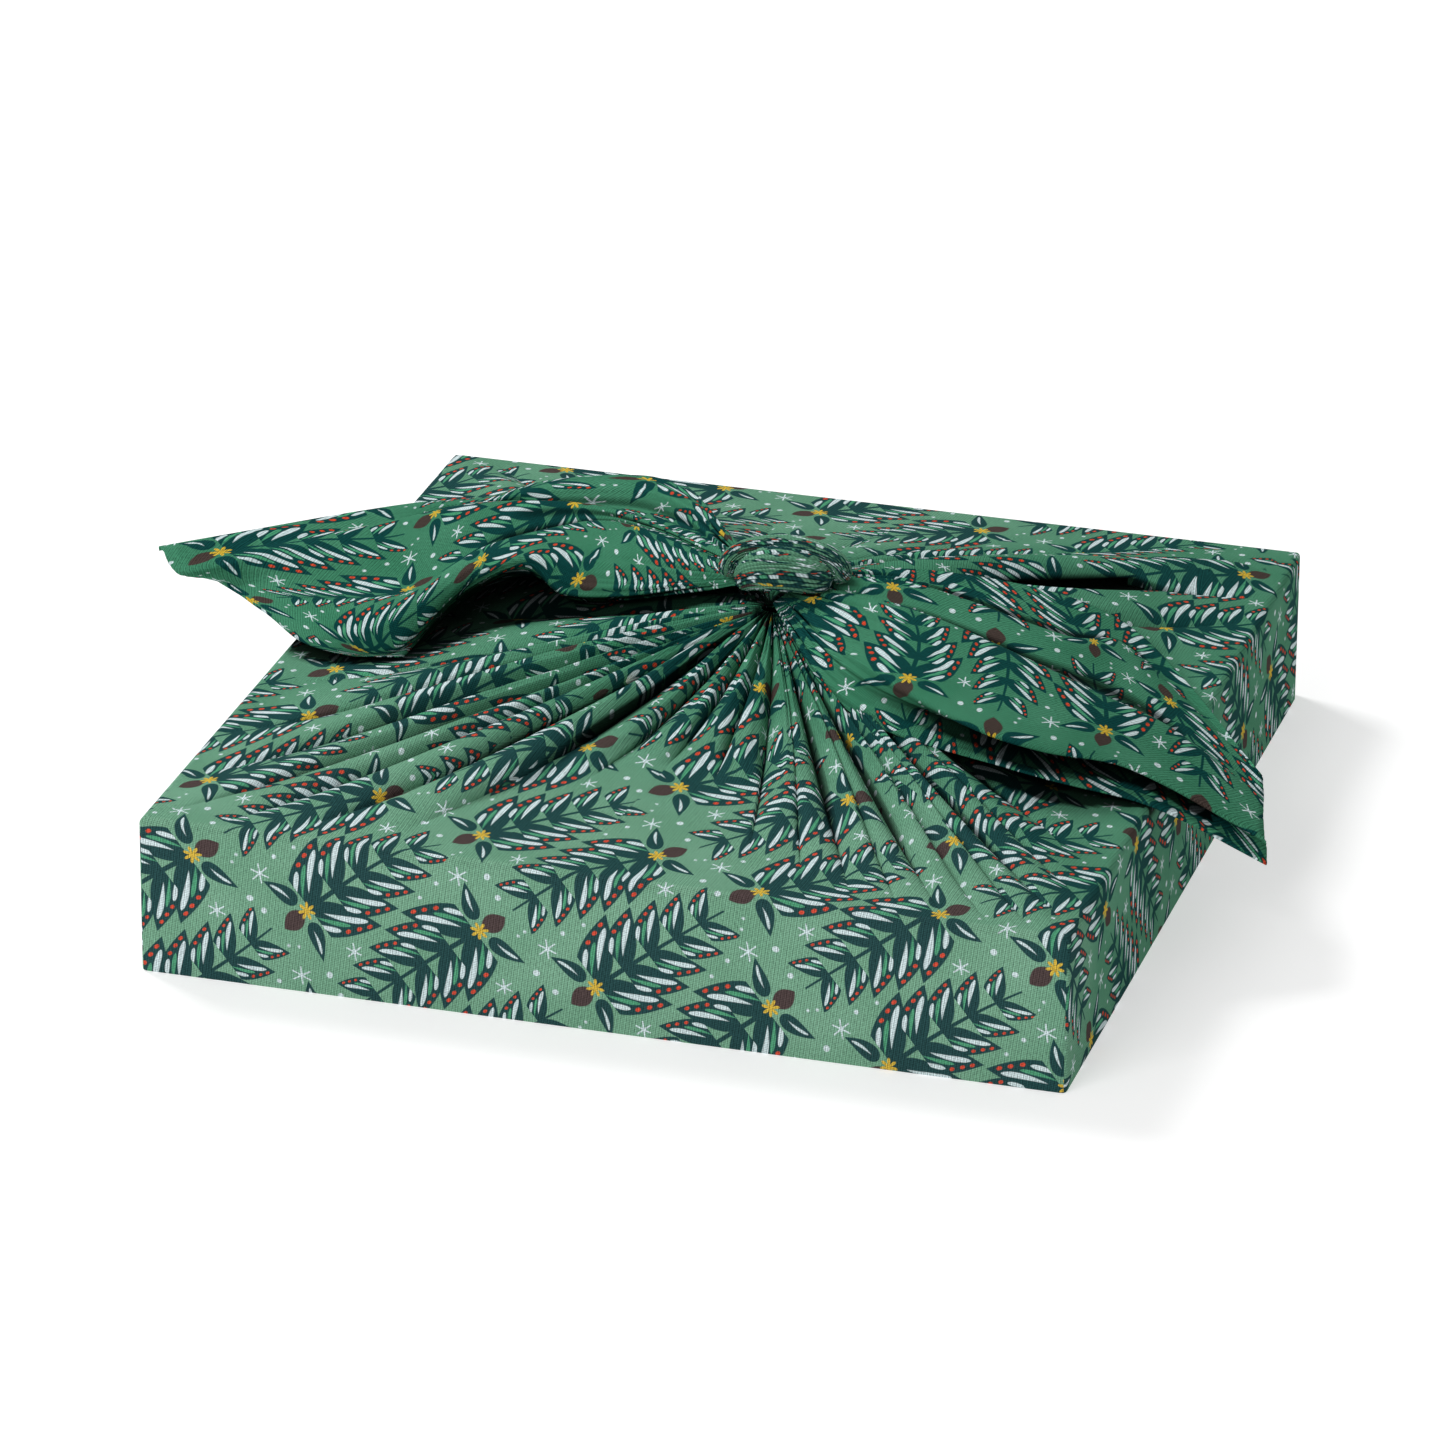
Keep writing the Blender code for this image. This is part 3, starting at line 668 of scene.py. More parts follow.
    def close_underside(self, item: Piece, columns: int) -> None:
        """Close the middle of the underside with one flat face."""
        select_only(item)
        bpy.ops.object.mode_set(mode="EDIT")
        bpy.ops.mesh.select_all(action="DESELECT")
        bpy.ops.object.mode_set(mode="OBJECT")
        last = len(item.data.vertices) - columns
        ring = set(range(last, last + columns))
        for edge in item.data.edges:
            edge.select = edge.vertices[0] in ring and edge.vertices[1] in ring
        bpy.ops.object.mode_set(mode="EDIT")
        bpy.ops.mesh.select_mode(type="EDGE")
        bpy.ops.mesh.fill()
        bpy.ops.object.mode_set(mode="OBJECT")


@dataclass
class Ear:
    """One free corner of the cloth, lofted through its fold lines.

    A fold line is a run of headings in degrees with reach and height in millimetres, from knot to tip. A
    crease's painted shade line is given as a deep valley's painted shadow of the sheet is, with the fold
    lines as its columns.
    """

    name: str
    parcel: Parcel
    knot: tuple[float, float, float]
    lines: tuple[tuple[float, ...], ...]
    root_far: tuple[float, float, float]
    root_near: tuple[float, float, float]
    print_origin: tuple[float, float]
    print_heading: float
    thickness: float = 0.0008
    rows: int = 90
    steps: int = 14
    coarse_rows: int = 16
    painted_crease_shade: tuple[FoldRow, ...] = ()

    def coarse(self) -> Array:
        """Points where the fold lines cross a few even rows."""
        count = len(self.lines)
        tracks = []
        for index, line in enumerate(self.lines):
            share = index / (count - 1)
            root = [far + (near - far) * share for far, near in zip(self.root_far, self.root_near)]
            knots = [root]
            for start in range(0, len(line), 3):
                head, reach, up = line[start:start + 3]
                turn = math.radians(head)
                knots.append([self.knot[0] + reach * MM * math.cos(turn),
                              self.knot[1] + reach * MM * math.sin(turn),
                              self.parcel.height + up * MM])
            tracks.append(curve_points(np.array(knots), np.linspace(0.0, 1.0, self.coarse_rows)))
        return np.array(tracks).transpose(1, 0, 2)

    def build(self) -> Piece:
        """Build the ear.

        Returns:
            The new piece.
        """
        coarse = self.coarse()
        share = np.linspace(0.0, 1.0, self.rows)
        long = np.stack([curve_points(coarse[:, line], share) for line in range(len(self.lines))], axis=1)
        across = np.linspace(0.0, 1.0, self.steps * (len(self.lines) - 1) + 1)
        points = np.stack([curve_points(row, across) for row in long])
        points = self.creased(points, share, across)
        middle = points.shape[1] // 2
        spine = path_lengths(points[:, middle])
        sideways = path_lengths(points.swapaxes(0, 1)).T
        sideways -= sideways[:, middle:middle + 1]
        turn = self.print_heading
        along = np.broadcast_to(spine[:, None], sideways.shape)
        spot = np.stack([self.print_origin[0] + along * math.cos(turn) - sideways * math.sin(turn),
                         self.print_origin[1] + along * math.sin(turn) + sideways * math.cos(turn)],
                        axis=-1)
        # Painted shade in the ear's folds, fading out towards the tip, darker along the painted crease lines.
        painted_shade_factor = openness(points, False, (1, 2, 4, 7, 11, 16, 24))
        tip = smooth_step(0.5, 0.85, share)[:, None]
        painted_shade_factor = painted_shade_factor + (1.0 - painted_shade_factor) * tip
        lines = across * (len(self.lines) - 1)
        for line, wide, start, end, depth in self.painted_crease_shade:
            along = smooth_step(start, start + 0.10, share) * (1.0 - smooth_step(end - 0.2, end, share))
            painted_shade_factor *= 1.0 - depth * along[:, None] * np.exp(-((lines - line) / wide) ** 2)[None, :]
        item = grid_piece(self.name, points, cell_corners(spot), painted_shade_factor=painted_shade_factor)
        give_thickness(item, self.thickness, 0.0)
        return item

    def creased(self, points: Array, share: Array, across: Array) -> Array:
        """Add the small pleats that fan out from the knot."""
        run = np.gradient(points, axis=0)
        side = np.gradient(points, axis=1)
        normal = np.cross(run, side)
        normal /= np.maximum(np.linalg.norm(normal, axis=2, keepdims=True), 1e-9)
        dice = np.random.default_rng(len(self.lines))
        total = np.zeros(points.shape[:2])
        for cycles in (9.0, 14.0, 21.0, 29.0):
            phase, drift = dice.uniform(0.0, 2 * math.pi, 2)
            bend = 0.8 * np.sin(3.0 * share + drift)[:, None]
            total += 1.0 - 2.0 * np.abs(np.sin(math.pi * cycles * across[None, :] + phase + bend)) ** 0.8
        size = 0.0009 * np.exp(-(share / 0.22) ** 2) + 0.00012
        grow = smooth_step(0.0, 0.05, share)
        return points + normal * (total * (size * grow)[:, None] / 2.0)[..., None]


@dataclass
class KnotBand:
    """One pleated band of the knot, swept along its stations.

    A station is a place beside the knot and the band's two half widths there, in millimetres.
    """

    name: str
    knot: tuple[float, float, float]
    stations: tuple[tuple[float, ...], ...]
    print_origin: tuple[float, float]
    core_lift: float = -0.0080
    print_across: float = 1.9
    print_along: float = 0.55
    print_jump: float = 0.0043
    pleats: int = 14
    pleat_depth: float = 0.13
    darkest_groove_shade: float = 0.55
    # How far stretch and painted light pale the knot.
    stretch_and_sheen: float = 0.55
    sides: int = 144
    rows: int = 70

    def build(self) -> Piece:
        """Build the band.

        Returns:
            The new piece, closed at both ends.
        """
        middle = np.array(self.knot)
        stations = np.array(self.stations)
        share = np.linspace(0.0, 1.0, self.rows)
        path = middle + curve_points(stations[:, :3], share) * MM
        sizes = curve_points(stations[:, 3:], share) * MM
        run = np.gradient(path, axis=0)
        run /= np.linalg.norm(run, axis=1, keepdims=True)
        out = path - (middle + np.array((0.0, 0.0, self.core_lift)))
        out -= run * (out * run).sum(-1, keepdims=True)
        out /= np.linalg.norm(out, axis=1, keepdims=True)
        wide = np.cross(run, out)
        turn = np.linspace(0.0, 2 * math.pi, self.sides, endpoint=False)
        dice = np.random.default_rng(self.pleats)
        uneven = turn + 0.10 * np.sin(2 * turn + dice.uniform(0, 6)) + 0.05 * np.sin(5 * turn)
        wave = np.abs(np.sin(self.pleats * uneven[None, :] + 0.5 * np.sin(3.0 * share)[:, None]))
        swell = 1.0 - self.pleat_depth + 2 * self.pleat_depth * wave ** 0.6
        ends = np.sqrt(np.clip(1.0 - (2.0 * share - 1.0) ** 12, 0.0, 1.0))[:, None]
        points = (path[:, None] + wide[:, None] * (sizes[:, :1] * ends * swell * np.cos(turn))[..., None]
                  + out[:, None] * (sizes[:, 1:] * ends * swell * np.sin(turn))[..., None])
        around = np.concatenate([points, points[:, :1]], axis=1)
        lateral = path_lengths(around.swapaxes(0, 1)).T
        along = np.broadcast_to(path_lengths(path)[:, None], lateral.shape)
        pleat = np.floor(self.pleats * np.append(uneven, uneven[0] + 2 * math.pi) / math.pi)
        cells = cell_corners(np.stack([self.print_across * lateral, self.print_along * along], axis=-1))
        jump = self.print_jump * pleat[:-1]
        cells[..., 0] += jump[None, :, None] + self.print_origin[0]
        cells[..., 1] += 0.6 * jump[None, :, None] + self.print_origin[1]
        # Painted shade in the grooves between the knot's pleats, never darker than the darkest value.
        painted_shade_factor = openness(points, True, (1, 2, 3, 5), tube=True)
        painted_shade_factor = np.maximum(painted_shade_factor, self.darkest_groove_shade) * smooth_step(-0.05, 0.45, wave)
        return grid_piece(self.name, points, cells, True, painted_shade_factor=painted_shade_factor,
                          stretch_and_sheen=np.full(painted_shade_factor.shape, self.stretch_and_sheen))


class Tone(Enum):
    """Colours of the printed cloth."""

    GROUND = (0.038, 0.178, 0.098, 1.0)
    GROUND_LIGHT = (0.056, 0.215, 0.125, 1.0)
    # Paler ground where stretch and painted light pale the cloth.
    TAUT = (0.130, 0.300, 0.190, 1.0)
    TAUT_LIGHT = (0.165, 0.345, 0.230, 1.0)
    DEEP = (0.004, 0.050, 0.046, 1.0)
    PALE = (0.520, 0.630, 0.640, 1.0)
    LEAF = (0.060, 0.285, 0.150, 1.0)
    BERRY = (0.560, 0.060, 0.025, 1.0)
    TWIG = (0.055, 0.040, 0.034, 1.0)
    GOLD = (0.560, 0.380, 0.040, 1.0)


class Field:
    """A number that changes over the cloth, held as one output of a node tree."""

    def __init__(self, tree: Tree, socket: Socket) -> None:
        """Keep the tree and the output."""
        self.tree = tree
        self.socket = socket

    def math(self, operation: str, *others: "Field | float", clamp: bool = False) -> "Field":
        """Apply one operation of the Math node.

        Args:
            operation: name of the operation.
            others: further operands, fields or plain numbers.
            clamp: whether the result is kept between 0 and 1.

        Returns:
            The result.
        """
        node = add_node(self.tree, "Math", dict(enumerate((self, *others))))
        node.operation = operation
        node.use_clamp = clamp
        return Field(self.tree, node.outputs[0])

    def __add__(self, other: "Field | float") -> "Field":
        """Sum."""
        return self.math("ADD", other)

    def __sub__(self, other: "Field | float") -> "Field":
        """Difference."""
        return self.math("SUBTRACT", other)

    def __mul__(self, other: "Field | float") -> "Field":
        """Product."""
        return self.math("MULTIPLY", other)

    def __truediv__(self, other: "Field | float") -> "Field":
        """Quotient."""
        return self.math("DIVIDE", other)

    def scaled(self, factor: float, shift: float) -> "Field":
        """Multiply by one plain number and add another."""
        return self.math("MULTIPLY_ADD", factor, shift)

    def size(self) -> "Field":
        """Value without its sign."""
        return self.math("ABSOLUTE")

    def away(self, other: "Field") -> "Field":
        """Distance from the origin, with a second coordinate."""
        return (self * self + other * other).math("SQRT")

    def inside(self, edge: "Field | float", soft: float) -> "Field":
        """Mask that is 1 where the value is under an edge, with a soft border."""
        if isinstance(edge, Field):
            return (edge - self).math("DIVIDE", soft, clamp=True)
        return self.math("MULTIPLY_ADD", -1.0 / soft, edge / soft, clamp=True)


def fill_inputs(tree: Tree, node: bpy.types.Node, inputs: dict) -> None:
    """Link or set inputs of a node.

    Args:
        tree: node tree of the material.
        node: the node.
        inputs: a field, an output or a plain value for the name or number of each input.
    """
    for key, value in inputs.items():
        if isinstance(value, Field):
            value = value.socket
        if isinstance(value, Socket):
            tree.links.new(value, node.inputs[key])
        else:
            node.inputs[key].default_value = value


def add_node(tree: Tree, kind: str, inputs: dict) -> bpy.types.Node:
    """Add a shader node with its inputs linked or set."""
    node = tree.nodes.new("ShaderNode" + kind)
    fill_inputs(tree, node, inputs)
    return node


def mix_colours(tree: Tree, share: "Field | float", under: Socket, over: "Colour | Field | Socket",
                blend: str = "MIX") -> Socket:
    """Lay one colour over another.

    Args:
        tree: node tree of the material.
        share: how much of the upper colour shows.
        under: the lower colour.
        over: the upper colour.
        blend: how the two are put together.

    Returns:
        The new colour.
    """
    node = tree.nodes.new("ShaderNodeMix")
    node.data_type = "RGBA"
    node.blend_type = blend
    fill_inputs(tree, node, {0: share, 6: under, 7: over})
    return node.outputs[2]


def two_tones(tree: Tree, share: Socket, tones: tuple[Colour, Colour], start: float = 0.0,
              end: float = 1.0) -> Socket:
    """An even change from one colour to another between two values of the share."""
    ramp = add_node(tree, "ValToRGB", {"Fac": share})
    for element, place, tone in zip(ramp.color_ramp.elements, (start, end), tones):
        element.position = place
        element.color = tone
    return ramp.outputs["Color"]


def noise(tree: Tree, place: Socket, scale: float, detail: float) -> Socket:
    """Uneven patches of one scale."""
    return add_node(tree, "TexNoise", {"Vector": place, "Scale": scale, "Detail": detail}).outputs["Fac"]


def bump(tree: Tree, height: "Field | Socket", strength: float, distance: float) -> Socket:
    """Normal of a surface with a fine relief."""
    relief = add_node(tree, "Bump", {"Height": height, "Strength": strength, "Distance": distance})
    return relief.outputs["Normal"]


def point_mark(tree: Tree, name: str) -> Field:
    """A mark that is kept on the points of the mesh."""
    node = add_node(tree, "Attribute", {})
    node.attribute_name = name
    return Field(tree, node.outputs["Fac"])


def plane_axes(tree: Tree, place: Socket) -> tuple[Field, Field]:
    """The two coordinates of a place on the cloth."""
    split = add_node(tree, "SeparateXYZ", {"Vector": place})
    return Field(tree, split.outputs["X"]), Field(tree, split.outputs["Y"])


def any_of(masks: list[Field]) -> Field:
    """Mask that is 1 where at least one of the masks is."""
    total = masks[0]
    for mask in masks[1:]:
        total = total.math("MAXIMUM", mask)
    return total


def new_material(name: str) -> tuple[bpy.types.Material, Tree, bpy.types.Node]:
    """Start a material, and hand out its node tree and its shader."""
    material = bpy.data.materials.new(name)
    material.use_nodes = True
    return material, material.node_tree, material.node_tree.nodes["Principled BSDF"]


class Canvas:
    """The print's colour while its motifs are laid one over the other."""

    def __init__(self, tree: Tree, colour: Socket) -> None:
        """Start with the ground's colour."""
        self.tree = tree
        self.colour = colour

    def lay(self, mask: Field, tone: Tone) -> None:
        """Lay a tone where the mask is 1."""
        self.colour = mix_colours(self.tree, mask, self.colour, tone.value)


@dataclass(frozen=True)
class SprigPrint:
    """A repeat of curved leafy sprigs with berries, small cones, stars, snowflakes and dots.

    Lengths are millimetres on the cloth. Columns of sprigs that point up and down take turns, and each
    sprig keeps inside its own wedge of the repeat, which is wide at the sprig's foot. Snowflakes and dots
    are given by their place and radius, and berries by their share of the leaf and place across it.
    """

    cell_wide: float = 38.0
    cell_long: float = 73.0
    wedge: float = 19.0
    heading: float = 38.0
    sway: float = 0.0044
    pairs: int = 5
    pitch: float = 11.4
    first_pair: float = -23.5
    leaf_long: float = 27.0
    leaf_half: float = 6.8
    leaf_turn: float = 57.0
    leaf_curl: float = 0.0090
    shrink: float = 0.110
    soft: float = 0.35
    patch_scale: float = 0.035
    berries: tuple[tuple[float, float], ...] = ((0.84, 0.5), (0.72, 1.8), (0.59, 3.3))
    flakes: tuple[Spot, ...] = ((-20.5, -31.0, 3.8), (21.5, -19.5, 3.4))
    dots: tuple[Spot, ...] = ((22.5, -33.0, 1.3), (-20.5, -14.0, 0.9), (-6.5, 34.5, 1.2),
                              (-22.0, -22.5, 1.0), (8.0, -36.0, 0.8), (8.5, 34.0, 0.8))

    def paint(self, tree: Tree) -> tuple[Socket, Socket]:
        """Build the print's nodes.

        Args:
            tree: node tree of the material.

        Returns:
            The colour, and the print coordinates in millimetres.
        """
        source = add_node(tree, "UVMap", {})
        source.uv_map = PRINT_MAP
        turned = add_node(tree, "Mapping", {"Vector": source.outputs["UV"], "Scale": (1.0 / MM,) * 3})
        turned.inputs["Rotation"].default_value[2] = math.radians(90.0 - self.heading)
        place = turned.outputs["Vector"]
        u, v = plane_axes(tree, place)
        row = (v / self.cell_long).math("FLOOR")
        height = v - row.scaled(self.cell_long, 0.5 * self.cell_long)
        slant = height * (self.wedge / self.cell_long)
        double = 2.0 * self.cell_wide
        pair = ((u - slant) / double).math("FLOOR")
        rest = u - slant - pair * double
        odd = rest.math("GREATER_THAN", slant.scaled(-2.0, self.cell_wide))
        x = u - pair.scaled(double, 0.5 * self.cell_wide) - odd * self.cell_wide
        y = height * odd.scaled(-2.0, 1.0)
        chance = self.chance(tree, pair * 2.0 + odd, row)
        x = x + (y * y).scaled(1.0, -400.0) * chance.scaled(self.sway, -0.5 * self.sway)
        canvas = Canvas(tree, self.ground(tree, place))
        leaves = [self.leaf_pair(canvas, x, y, step) for step in (2, 1, 0)]
        self.stem(canvas, x, y)
        self.scatter(canvas, x, y, any_of(leaves))
        return canvas.colour, place

    def chance(self, tree: Tree, lane: Field, row: Field) -> Field:
        """A fixed chance number for each cell."""
        join = add_node(tree, "CombineXYZ", {"X": lane, "Y": row})
        dice = add_node(tree, "TexWhiteNoise", {"Vector": join.outputs["Vector"]})
        dice.noise_dimensions = "2D"
        return Field(tree, dice.outputs["Value"])

    def ground(self, tree: Tree, place: Socket) -> Socket:
        """The green ground with its soft lighter patches, paler where stretch and painted light pale the
        cloth.
        """
        patches = noise(tree, place, self.patch_scale, 3.0)
        slack, stretch_and_sheen = (two_tones(tree, patches, (dark.value, light.value), 0.35, 0.70) for dark, light in
                       ((Tone.GROUND, Tone.GROUND_LIGHT), (Tone.TAUT, Tone.TAUT_LIGHT)))
        return mix_colours(tree, point_mark(tree, STRETCH_AND_SHEEN_MARK), slack, stretch_and_sheen)

    def stroke(self, share: Field, aside: Field, start: float, end: float, place: float,
               half: float) -> Field:
        """Mask of one brush stroke along a leaf, blunt at its outer end.

        Args:
            share: share of the way along the leaf.
            aside: place across the leaf.
            start: share where the stroke begins.
            end: share where it ends.
            place: where its middle lies across the leaf.
            half: half of its greatest width.

        Returns:
            The mask.
        """
        long = end - start
        width = (share.scaled(1.0, -start) * share.scaled(-1.0, end)).math("SQRT") * (2.0 * half / long)
        width = width * share.scaled(0.8 / long, 0.35 - 0.8 * start / long)
        return aside.scaled(1.0, -place).size().inside(width, self.soft)

    def leaf_pair(self, canvas: Canvas, x: Field, y: Field, step: int) -> Field:
        """Paint the pairs of leaves whose root lies a number of pitches below the spot.

        Args:
            canvas: what they are laid on.
            x: place across the sprig.
            y: place along the sprig.
            step: how many pitches below the spot the leaves are rooted.

        Returns:
            The leaves' mask.
        """
        turn = math.radians(self.leaf_turn)
        number = ((y - self.first_pair) / self.pitch).math("FLOOR") - float(step)
        local = y - number.scaled(self.pitch, self.first_pair)
        wide = x.size()
        exists = number.math("GREATER_THAN", -0.5) * number.math("LESS_THAN", self.pairs - 0.5)
        taper = number.scaled(-self.shrink, 1.0)
        along = (wide * math.sin(turn) + local * math.cos(turn)) / taper
        aside = (wide * math.cos(turn) - local * math.sin(turn)) / taper
        aside = aside + along * along * self.leaf_curl - 1.2
        share = along / self.leaf_long
        width = share.math("SQRT") * share.scaled(-1.0, 1.0) * (self.leaf_half * 2.60)
        leaf = aside.size().inside(width, self.soft) * exists
        canvas.lay(leaf, Tone.DEEP)
        canvas.lay(self.stroke(share, aside, 0.10, 0.60, 1.0, 1.2) * exists, Tone.LEAF)
        strokes = [self.stroke(share, aside, 0.20, 0.80, -1.4, 1.60),
                   self.stroke(share, aside, 0.12, 0.50, 3.6, 1.35)]
        canvas.lay(any_of(strokes) * exists, Tone.PALE)
        berries = []
        for part, place in self.berries:
            spot = along.scaled(1.0, -part * self.leaf_long).math("POWER", 2.0)
            spot = spot + aside.scaled(1.0, -place).math("POWER", 2.0)
            berries.append(spot.inside(1.0, 0.5))
        canvas.lay(any_of(berries) * exists, Tone.BERRY)
        return leaf

    def stem(self, canvas: Canvas, x: Field, y: Field) -> None:
        """Paint the stem, and two small leaves, the cone and the star at its foot."""
        wide = x.size()
        line = wide.inside(y.scaled(-0.012, 0.9), 0.3)
        canvas.lay(line * (y - 3.0).size().inside(30.0, 0.4), Tone.DEEP)
        share = wide.scaled(1.0 / 14.0, -4.0 / 14.0)
        across = y + share * share * 5.0 + 27.0
        width = share.math("SQRT") * share.scaled(-1.0, 1.0) * 8.5
        canvas.lay(across.size().inside(width, self.soft), Tone.DEEP)
        canvas.lay(self.stroke(share, across, 0.2, 0.8, -0.3, 0.9), Tone.PALE)
        lift = y + 31.0
        canvas.lay(wide.inside((lift * lift).scaled(-0.13, 3.8), 0.4), Tone.TWIG)
        low = y + 25.0
        ray = (x.math("ARCTAN2", low) * 3.5).math("COSINE").size()
        canvas.lay(x.away(low).inside(ray.scaled(2.7, 0.8), 0.4), Tone.GOLD)

    def scatter(self, canvas: Canvas, x: Field, y: Field, taken: Field) -> None:
        """Paint snowflakes and dots on the bare ground."""
        marks = []
        for place_x, place_y, size in self.flakes:
            across, along = x - place_x, y - place_y
            reach = across.away(along)
            ray = (across.math("ARCTAN2", along) * 3.0).math("SINE").size() * reach
            marks.append(ray.inside(0.95, 0.3) * reach.inside(size, 0.4))
        for place_x, place_y, size in self.dots:
            across, along = x - place_x, y - place_y
            marks.append((across * across + along * along).inside(size * size, 0.6))
        canvas.lay(any_of(marks) * taken.scaled(-1.0, 1.0), Tone.PALE)


@dataclass(frozen=True)
class ClothFinish:
    """Thin stretch-woven cotton with a fine diagonal rib and the printed sprigs, with painted shade and
    sheen.
    """

    name: str = "printed cotton"
    pattern: SprigPrint = field(default_factory=SprigPrint)
    roughness: float = 0.9
    gloss: float = 0.02
    relief: tuple[float, float] = (0.35, 0.00025)
    shade_start: float = 0.10
    shade_span: float = 0.30
    darkest_fold_shade: float = 0.08
    # Painted sheen, added where the cloth is paled.
    painted_sheen: Colour = (0.015, 0.009, 0.014, 1.0)
    rib_pitch: float = 0.75
    thread_pitch: float = 0.95
    slub_scale: float = 0.95

    def build(self) -> bpy.types.Material:
        """Build the material.

        Returns:
            The new material.
        """
        material, tree, shader = new_material(self.name)
        colour, place = self.pattern.paint(tree)
        # Painted shade: the shade mark darkens the colour in folds, down to the darkest fold shade.
        fold = point_mark(tree, PAINTED_SHADE_MARK).math("MULTIPLY_ADD", 1.0 / self.shade_span,
                                                -self.shade_start / self.shade_span, clamp=True)
        height = self.weave(tree, place)
        weave_and_fold_shade = height.scaled(0.80, 0.40) * fold.scaled(1.0 - self.darkest_fold_shade, self.darkest_fold_shade)
        # Painted sheen added where stretch and painted light pale the cloth.
        with_painted_sheen = mix_colours(tree, point_mark(tree, STRETCH_AND_SHEEN_MARK), colour, self.painted_sheen, "ADD")
        fill_inputs(tree, shader, {"Base Color": mix_colours(tree, 1.0, with_painted_sheen, weave_and_fold_shade, "MULTIPLY"),
                                   "Normal": bump(tree, height, *self.relief),
                                   "Roughness": self.roughness, "Specular IOR Level": self.gloss})
        return material

    def weave(self, tree: Tree, place: Socket) -> Field:
        """Height of the threads, the rib and the uneven yarn."""
        warp, weft = ((axis * (2.0 * math.pi / self.thread_pitch)).math("SINE")
                      for axis in plane_axes(tree, place))
        rib = add_node(tree, "TexWave", {"Vector": place, "Scale": 1.0 / (self.rib_pitch * 3.2),
                                         "Distortion": 1.2, "Detail": 1.0})
        rib.wave_type = "BANDS"
        rib.bands_direction = "DIAGONAL"
        yarn = Field(tree, noise(tree, place, self.slub_scale, 3.0))
        return warp * weft * 0.55 + Field(tree, rib.outputs["Fac"]) * 0.45 + yarn * 1.1


@dataclass(frozen=True)
class BoardFinish:
    """Uncoated paperboard painted near black to stand for deep shade, with short fibres."""

    name: str = "shade_dark_paperboard"
    base: Colour = (0.030, 0.050, 0.042, 1.0)
    fibre: Colour = (0.050, 0.078, 0.064, 1.0)
    grain: tuple[float, float, float] = (900.0, 260.0, 900.0)
    roughness: float = 0.9
    relief: tuple[float, float] = (0.3, 0.0002)

    def build(self) -> bpy.types.Material:
        """Build the material.

        Returns:
            The new material.
        """
        material, tree, shader = new_material(self.name)
        place = add_node(tree, "TexCoord", {}).outputs["Object"]
        stretch = add_node(tree, "Mapping", {"Vector": place, "Scale": self.grain})
        fibres = noise(tree, stretch.outputs["Vector"], 1.0, 4.0)
        fill_inputs(tree, shader, {"Base Color": two_tones(tree, fibres, (self.base, self.fibre)),
                                   "Normal": bump(tree, fibres, *self.relief),
                                   "Roughness": self.roughness})
        return material


